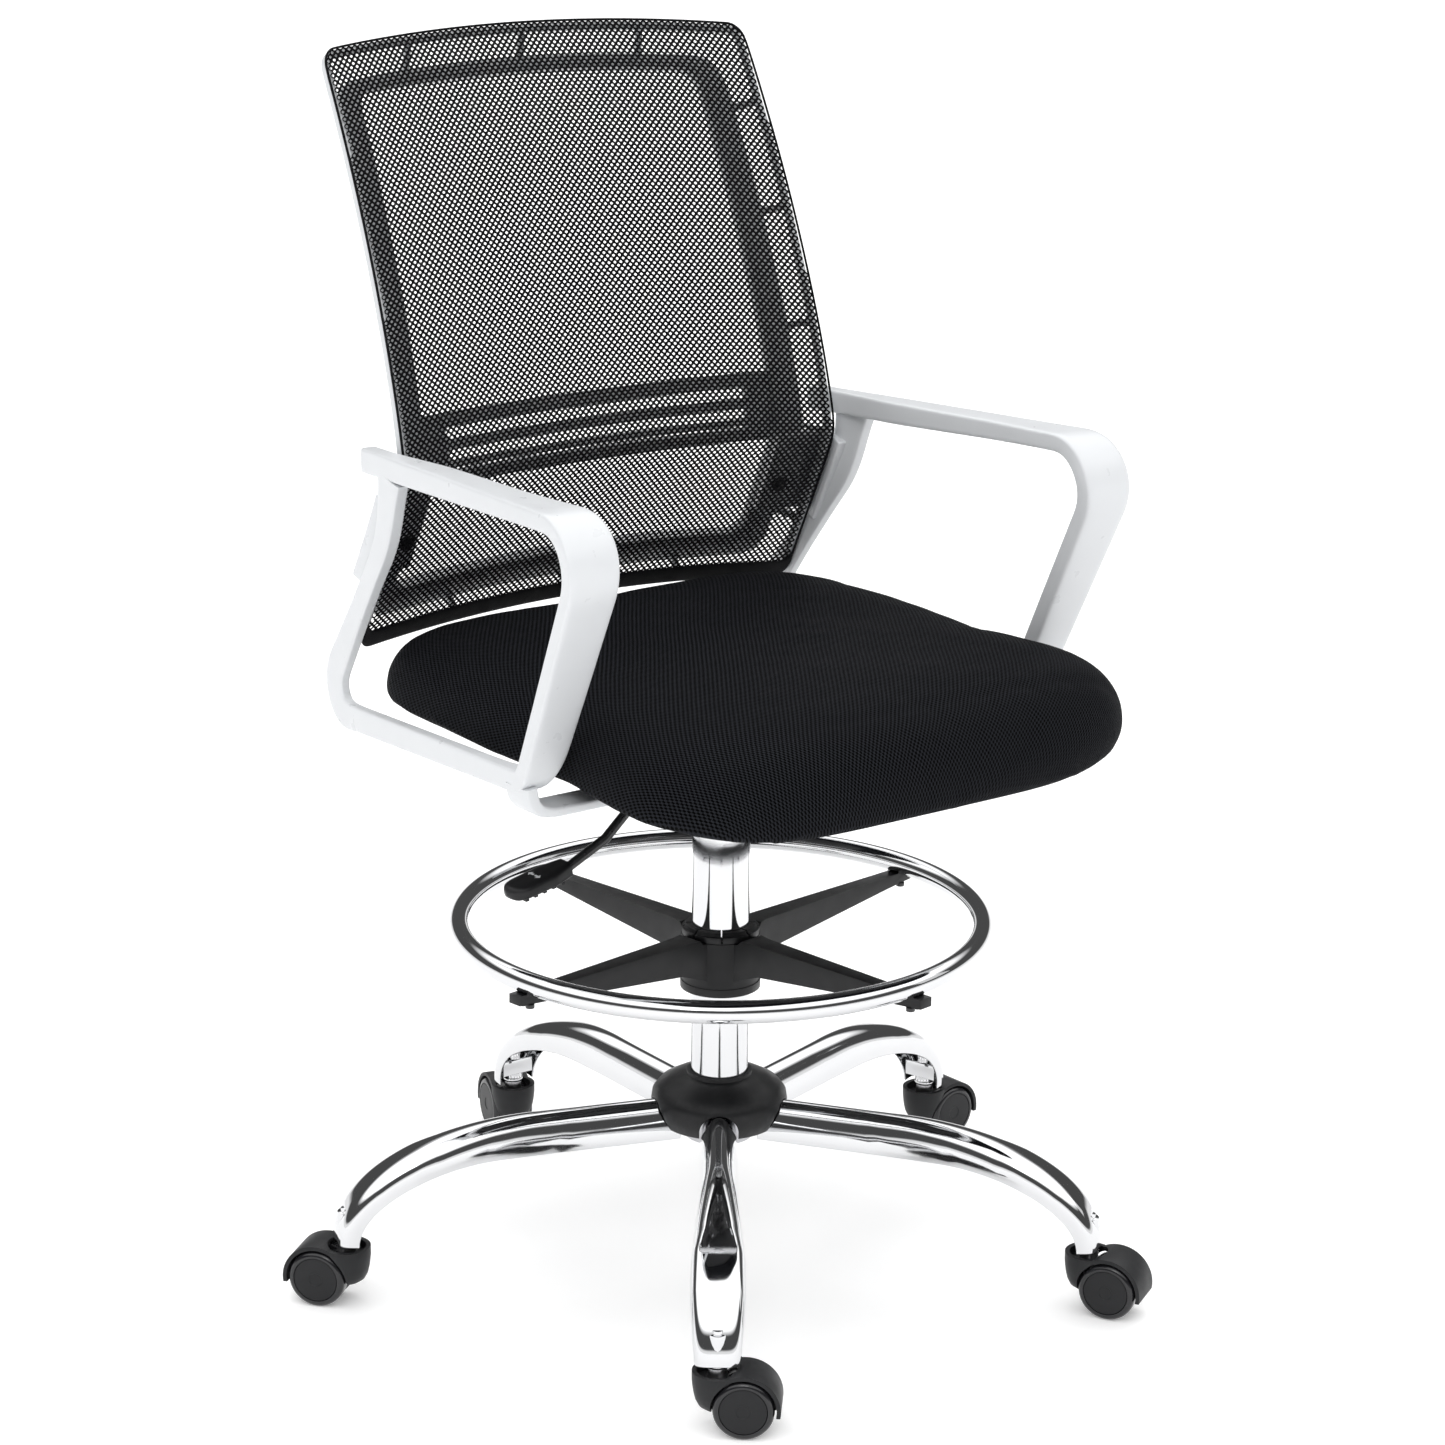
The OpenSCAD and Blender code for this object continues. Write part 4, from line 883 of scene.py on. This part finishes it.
def back_outline(inset, r, step=8.0):
    """Outline of the back inset by (side, top, bottom), corners rounded to r, in even steps."""
    low, high = BACK_LOW_Z + inset[2], BACK_HIGH_Z - inset[1]
    low_x, high_x = back_half(low) - inset[0], back_half(high) - inset[0]
    right = []
    for k in range(9):
        a = math.radians(90 * k / 8 - 90)
        right.append((low_x - r + r * math.cos(a), low + r + r * math.sin(a)))
    count = int((high - low - 2 * r) / step)
    for k in range(1, count):
        z = mix(low + r, high - r, k / count)
        right.append((back_half(z) - inset[0], z))
    for k in range(9):
        a = math.radians(90 * k / 8)
        right.append((high_x - r + r * math.cos(a), high - r + r * math.sin(a)))
    across = int(2 * (low_x - r) / step)
    top = [(mix(high_x - r, r - high_x, k / across), high) for k in range(1, across)]
    bottom = [(mix(r - low_x, low_x - r, k / across), low) for k in range(1, across)]
    rows = right + top + [(-x, z) for x, z in right[::-1]] + bottom
    return [(x, arched(x, z)) for x, z in rows]


def back_band(inset, width, front, rear, r_out, r_in, round_r, draft=0.0):
    """Band with rounded edges swept round the back; draft slopes its outer side inwards to the rear."""
    outer = back_outline(inset, r_out)
    inner = back_outline(tuple(a + b for a, b in zip(inset, width)), r_in)
    depth_mid, depth_half = (front + rear) / 2, (rear - front) / 2
    rings = []
    for a, b in zip(outer, inner):
        a, b = np.array(a), np.array(b)
        mid, half = (a + b) / 2, np.linalg.norm(a - b) / 2
        across = (a - b) / (2 * half)
        ring = []
        for q in rounded_rect(half, depth_half, round_r, 4):
            lean = draft * max(0.0, q[0] / half) * (0.5 + 0.5 * q[1] / depth_half)
            x, z = mid + across * (q[0] - lean)
            ring.append(back_at(x, z, depth_mid + q[1]))
        rings.append(ring)
    return grid(rings, loop=True)


def mesh_half(z):
    near = min(z - BACK_LOW_Z, BACK_HIGH_Z - z)
    c = max(0.0, MESH_CORNER - near)
    return back_half(z) - MESH_CORNER + math.sqrt(max(0.0, MESH_CORNER ** 2 - c * c))


def net_faces():
    """Open knit: staggered six-sided eyelets, each a ring of six quads round its hole."""
    verts, faces, index = [], [], {}
    outline = [(0, 1), (0.5, 0.333), (0.5, -0.333), (0, -1), (-0.5, -0.333), (-0.5, 0.333)]

    def corner_vertex(key, x, z, depth):
        if key not in index:
            index[key] = len(verts)
            verts.append(back_at(x, arched(x, z), depth))
        return index[key]

    rows = int((BACK_HIGH_Z - BACK_LOW_Z - 2 * NET_RIM) / (NET_PITCH_Z / 2))
    for j in range(rows):
        zc = BACK_LOW_Z + NET_RIM + (j + 0.5) * NET_PITCH_Z / 2 + 1.0
        half = mesh_half(min(max(zc, BACK_LOW_Z + 0.5), BACK_HIGH_Z - 0.5)) - NET_RIM
        columns = int(half / NET_PITCH_X) + 1
        shift = 0.5 if j % 2 else 0.0
        for i in range(-columns, columns + 1):
            xc = (i + shift) * NET_PITCH_X
            if abs(xc) > half - 2.6:
                continue
            outer, inner = [], []
            for a, b in outline:
                kx = round(2 * (i + shift) + 2 * a)
                kz = round(3 * j + 3 * b)
                outer.append(corner_vertex((kx, kz), xc + a * NET_PITCH_X, zc + b * NET_PITCH_Z / 2, -0.35))
            for a, b in outline:
                x, z = xc + a * NET_PITCH_X * NET_HOLE, zc + b * NET_PITCH_Z * 0.5 * NET_HOLE
                inner.append(len(verts))
                verts.append(back_at(x, arched(x, z), 0.25))
            for k in range(6):
                n = (k + 1) % 6
                faces.append((outer[k], outer[n], inner[n], inner[k]))
    return verts, faces


def hem_band():
    """Closed edge of the mesh, folded round the rim."""
    outer = back_outline((0.2, 0.2, 0.2), MESH_CORNER - 0.2, 5.0)
    inner = back_outline((HEM_W, HEM_W, HEM_LOW_W), MESH_CORNER - HEM_W, 5.0)
    rings = []
    for a, b in zip(outer, inner):
        a, b = np.array(a), np.array(b)
        mid, half = (a + b) / 2, np.linalg.norm(a - b) / 2
        across = (a - b) / (2 * half)
        ring = []
        for q in superellipse(half, 1.3, 2.6, 14):
            x, z = mid + across * q[0]
            ring.append(back_at(x, z, 0.2 + q[1]))
        rings.append(ring)
    return grid(rings, loop=True)


def lumbar():
    """Curved panel with three long round-ended slots."""
    half = back_half(714) - SIDE_INSET - SIDE_W + 2
    z0, z1 = 674, 752
    slots = [694, 714, 734]
    slot_half, slot_h = half - 26, 5.0
    bars = []

    def strip(xa, xb, low, high, steps):
        rings = []
        for k in range(steps + 1):
            x = mix(xa, xb, k / steps)
            lo, hi = low(x), high(x)
            rings.append([back_at(x, z, d) for z, d in ((lo, 25), (hi, 25), (hi, 31), (lo, 31))])
        return grid(rings)

    def slot_edge(centre, up):
        def edge(x):
            over = max(0.0, abs(x) - (slot_half - slot_h))
            return centre + up * math.sqrt(max(0.0, slot_h ** 2 - over ** 2))
        return edge

    def bottom(x):
        return z0

    def top(x):
        return z1

    levels = [bottom] + [slot_edge(c, up) for c in slots for up in (-1, 1)] + [top]
    for k in range(0, len(levels), 2):
        bars.append(strip(-slot_half, slot_half, levels[k], levels[k + 1], 120))
    for s in (-1, 1):
        bars.append(strip(s * half, s * slot_half, bottom, top, 6))
    return merged(*bars)


def back():
    net = piece("back_net", net_faces(), "seat", THREAD, ("back_mesh",),
                angle=80, outward=False)
    piece("back_hem", hem_band(), "seat", HEM, angle=60)
    bead = back_band((1.5, 1.5, 1.5), (6, 6, 6), 1.2, 9, 12.5, 7, 2.2)
    piece("back_rim_bead", bead, "seat", FRAME_WHITE, ("back_rim",), angle=50)
    band = back_band((SIDE_INSET, 20, 6), (SIDE_W, 13, 24), MEMBER_FRONT, MEMBER_BACK, 26, 14, 3.5, 8)
    piece("back_frame_band", band, "seat", FRAME_WHITE, ("back_frame",), angle=50)
    ribs = []
    for s in (-1, 1):
        for z in (600, 690, 790, 890, 980):
            w = back_half(z)
            member = w - SIDE_INSET
            ribs.append(rib([(s * (w - 2), z, 7), (s * (w - 6), z, 7),
                             (s * (member - 5), z, MEMBER_FRONT + 1),
                             (s * (member - 1), z, MEMBER_FRONT + 4)], "z"))
    for x in (-120, 0, 120):
        for z, up, reach in ((arched(x, BACK_HIGH_Z), -1, 26), (arched(x, BACK_LOW_Z), 1, 12)):
            ribs.append(rib([(x, z + up * 2, 7), (x, z + up * 6, 7), (x, z + up * reach, MEMBER_FRONT + 1),
                             (x, z + up * (reach - 4), MEMBER_FRONT + 4)], "x"))
    obj = piece("back_ribs", merged(*ribs), "seat", FRAME_WHITE, angle=40)
    soften(obj, 0.8, 2, 40)
    piece("lumbar_panel", lumbar(), "seat", FRAME_WHITE, ("lumbar_support",), angle=40)
    dressed("back_bolts", BLACK_STEEL, 1.0, 2)


def rib(points, axis):
    rings = []
    for d in (-3, 3):
        rings.append([back_at(x + (d if axis == "x" else 0), z + (d if axis == "z" else 0), depth)
                      for x, z, depth in points])
    return grid(rings)


# ---- stage ------------------------------------------------------------------

CAM_YAW = 37.11
CAM_PITCH = 16.29
CAM_ROLL = 0.52
CAM_DISTANCE = 2.975
CAM_HEIGHT = 1.360
CAM_LENS = 90.9
FLOOR_HALF = 14
# brightness of the surroundings from straight down (0) to straight up (1)
SKY_STOPS = [(0.0, 0.62), (0.06, 0.62), (0.12, 0.05), (0.46, 0.05), (0.58, 1.0), (1.0, 1.0)]
SKY_STRENGTH = 1.75
BACKDROP = 0.58


def camera():
    yaw, pitch, roll = (math.radians(a) for a in (CAM_YAW, CAM_PITCH, CAM_ROLL))
    level = math.cos(pitch)
    forward = Vector((math.sin(yaw) * level, math.cos(yaw) * level, -math.sin(pitch)))
    right = Vector((math.cos(yaw), -math.sin(yaw), 0))
    up = right.cross(forward)
    across = math.cos(roll) * right + math.sin(roll) * up
    upward = -math.sin(roll) * right + math.cos(roll) * up
    data = bpy.data.cameras.new("camera")
    data.lens = CAM_LENS
    data.sensor_width = 36
    data.clip_end = 50
    cam = bpy.data.objects.new("camera", data)
    cam.matrix_world = Matrix((
        (across.x, upward.x, -forward.x, -CAM_DISTANCE * math.sin(yaw)),
        (across.y, upward.y, -forward.y, -CAM_DISTANCE * math.cos(yaw)),
        (across.z, upward.z, -forward.z, CAM_HEIGHT),
        (0, 0, 0, 1)))
    bpy.context.scene.collection.objects.link(cam)
    bpy.context.scene.camera = cam


def area_light(name, place, target, size, power):
    data = bpy.data.lights.new(name, "AREA")
    data.shape = "RECTANGLE"
    data.size, data.size_y = size
    data.energy = power
    obj = bpy.data.objects.new(name, data)
    obj.location = place
    direction = Vector(target) - Vector(place)
    obj.rotation_euler = direction.to_track_quat("-Z", "Y").to_euler()
    bpy.context.scene.collection.objects.link(obj)


def studio():
    mesh = bpy.data.meshes.new("floor")
    w = FLOOR_HALF
    mesh.from_pydata([(-w, -w, 0), (w, -w, 0), (w, w, 0), (-w, w, 0)], [], [(0, 1, 2, 3)])
    floor = linked("floor", mesh)
    s = Shader("pale_floor", (0.97, 0.97, 0.97), 0.6)
    s.set("Emission Color", (1.0, 1.0, 1.0, 1.0))
    s.set("Emission Strength", 0.20)
    mesh.materials.append(s.mat)
    sky()
    area_light("key", (-1.8, -2.0, 2.6), (0, 0, 0.5), (1.2, 1.2), 13)
    area_light("fill", (2.4, -1.4, 1.8), (0, 0, 0.5), (1.0, 1.6), 4)


def sky():
    """Studio surroundings: a bright ceiling over a darker band of room, and a bright horizon."""
    world = bpy.data.worlds.new("studio")
    world.use_nodes = True
    tree = world.node_tree
    coords = tree.nodes.new("ShaderNodeTexCoord")
    split = tree.nodes.new("ShaderNodeSeparateXYZ")
    ramp = tree.nodes.new("ShaderNodeValToRGB")
    tree.links.new(coords.outputs["Generated"], split.inputs[0])
    tree.links.new(split.outputs["Z"], ramp.inputs[0])
    # the band is only for gloss to reflect: the open backdrop itself stays plain and pale
    ray = tree.nodes.new("ShaderNodeLightPath")
    mixer = tree.nodes.new("ShaderNodeMixRGB")
    mixer.inputs["Color2"].default_value = (BACKDROP, BACKDROP, BACKDROP, 1)
    tree.links.new(ray.outputs["Is Camera Ray"], mixer.inputs["Fac"])
    tree.links.new(ramp.outputs["Color"], mixer.inputs["Color1"])
    tree.links.new(mixer.outputs["Color"], tree.nodes["Background"].inputs["Color"])
    elements = ramp.color_ramp.elements
    while len(elements) < len(SKY_STOPS):
        elements.new(0.5)
    for element, (position, value) in zip(elements, SKY_STOPS):
        element.position = position
        element.color = (value, value, value, 1)
    tree.nodes["Background"].inputs["Strength"].default_value = SKY_STRENGTH
    bpy.context.scene.world = world
    bpy.context.scene.view_settings.view_transform = "Standard"


base()
casters()
column()
foot_ring()
seat()
arms()
back()
camera()
studio()
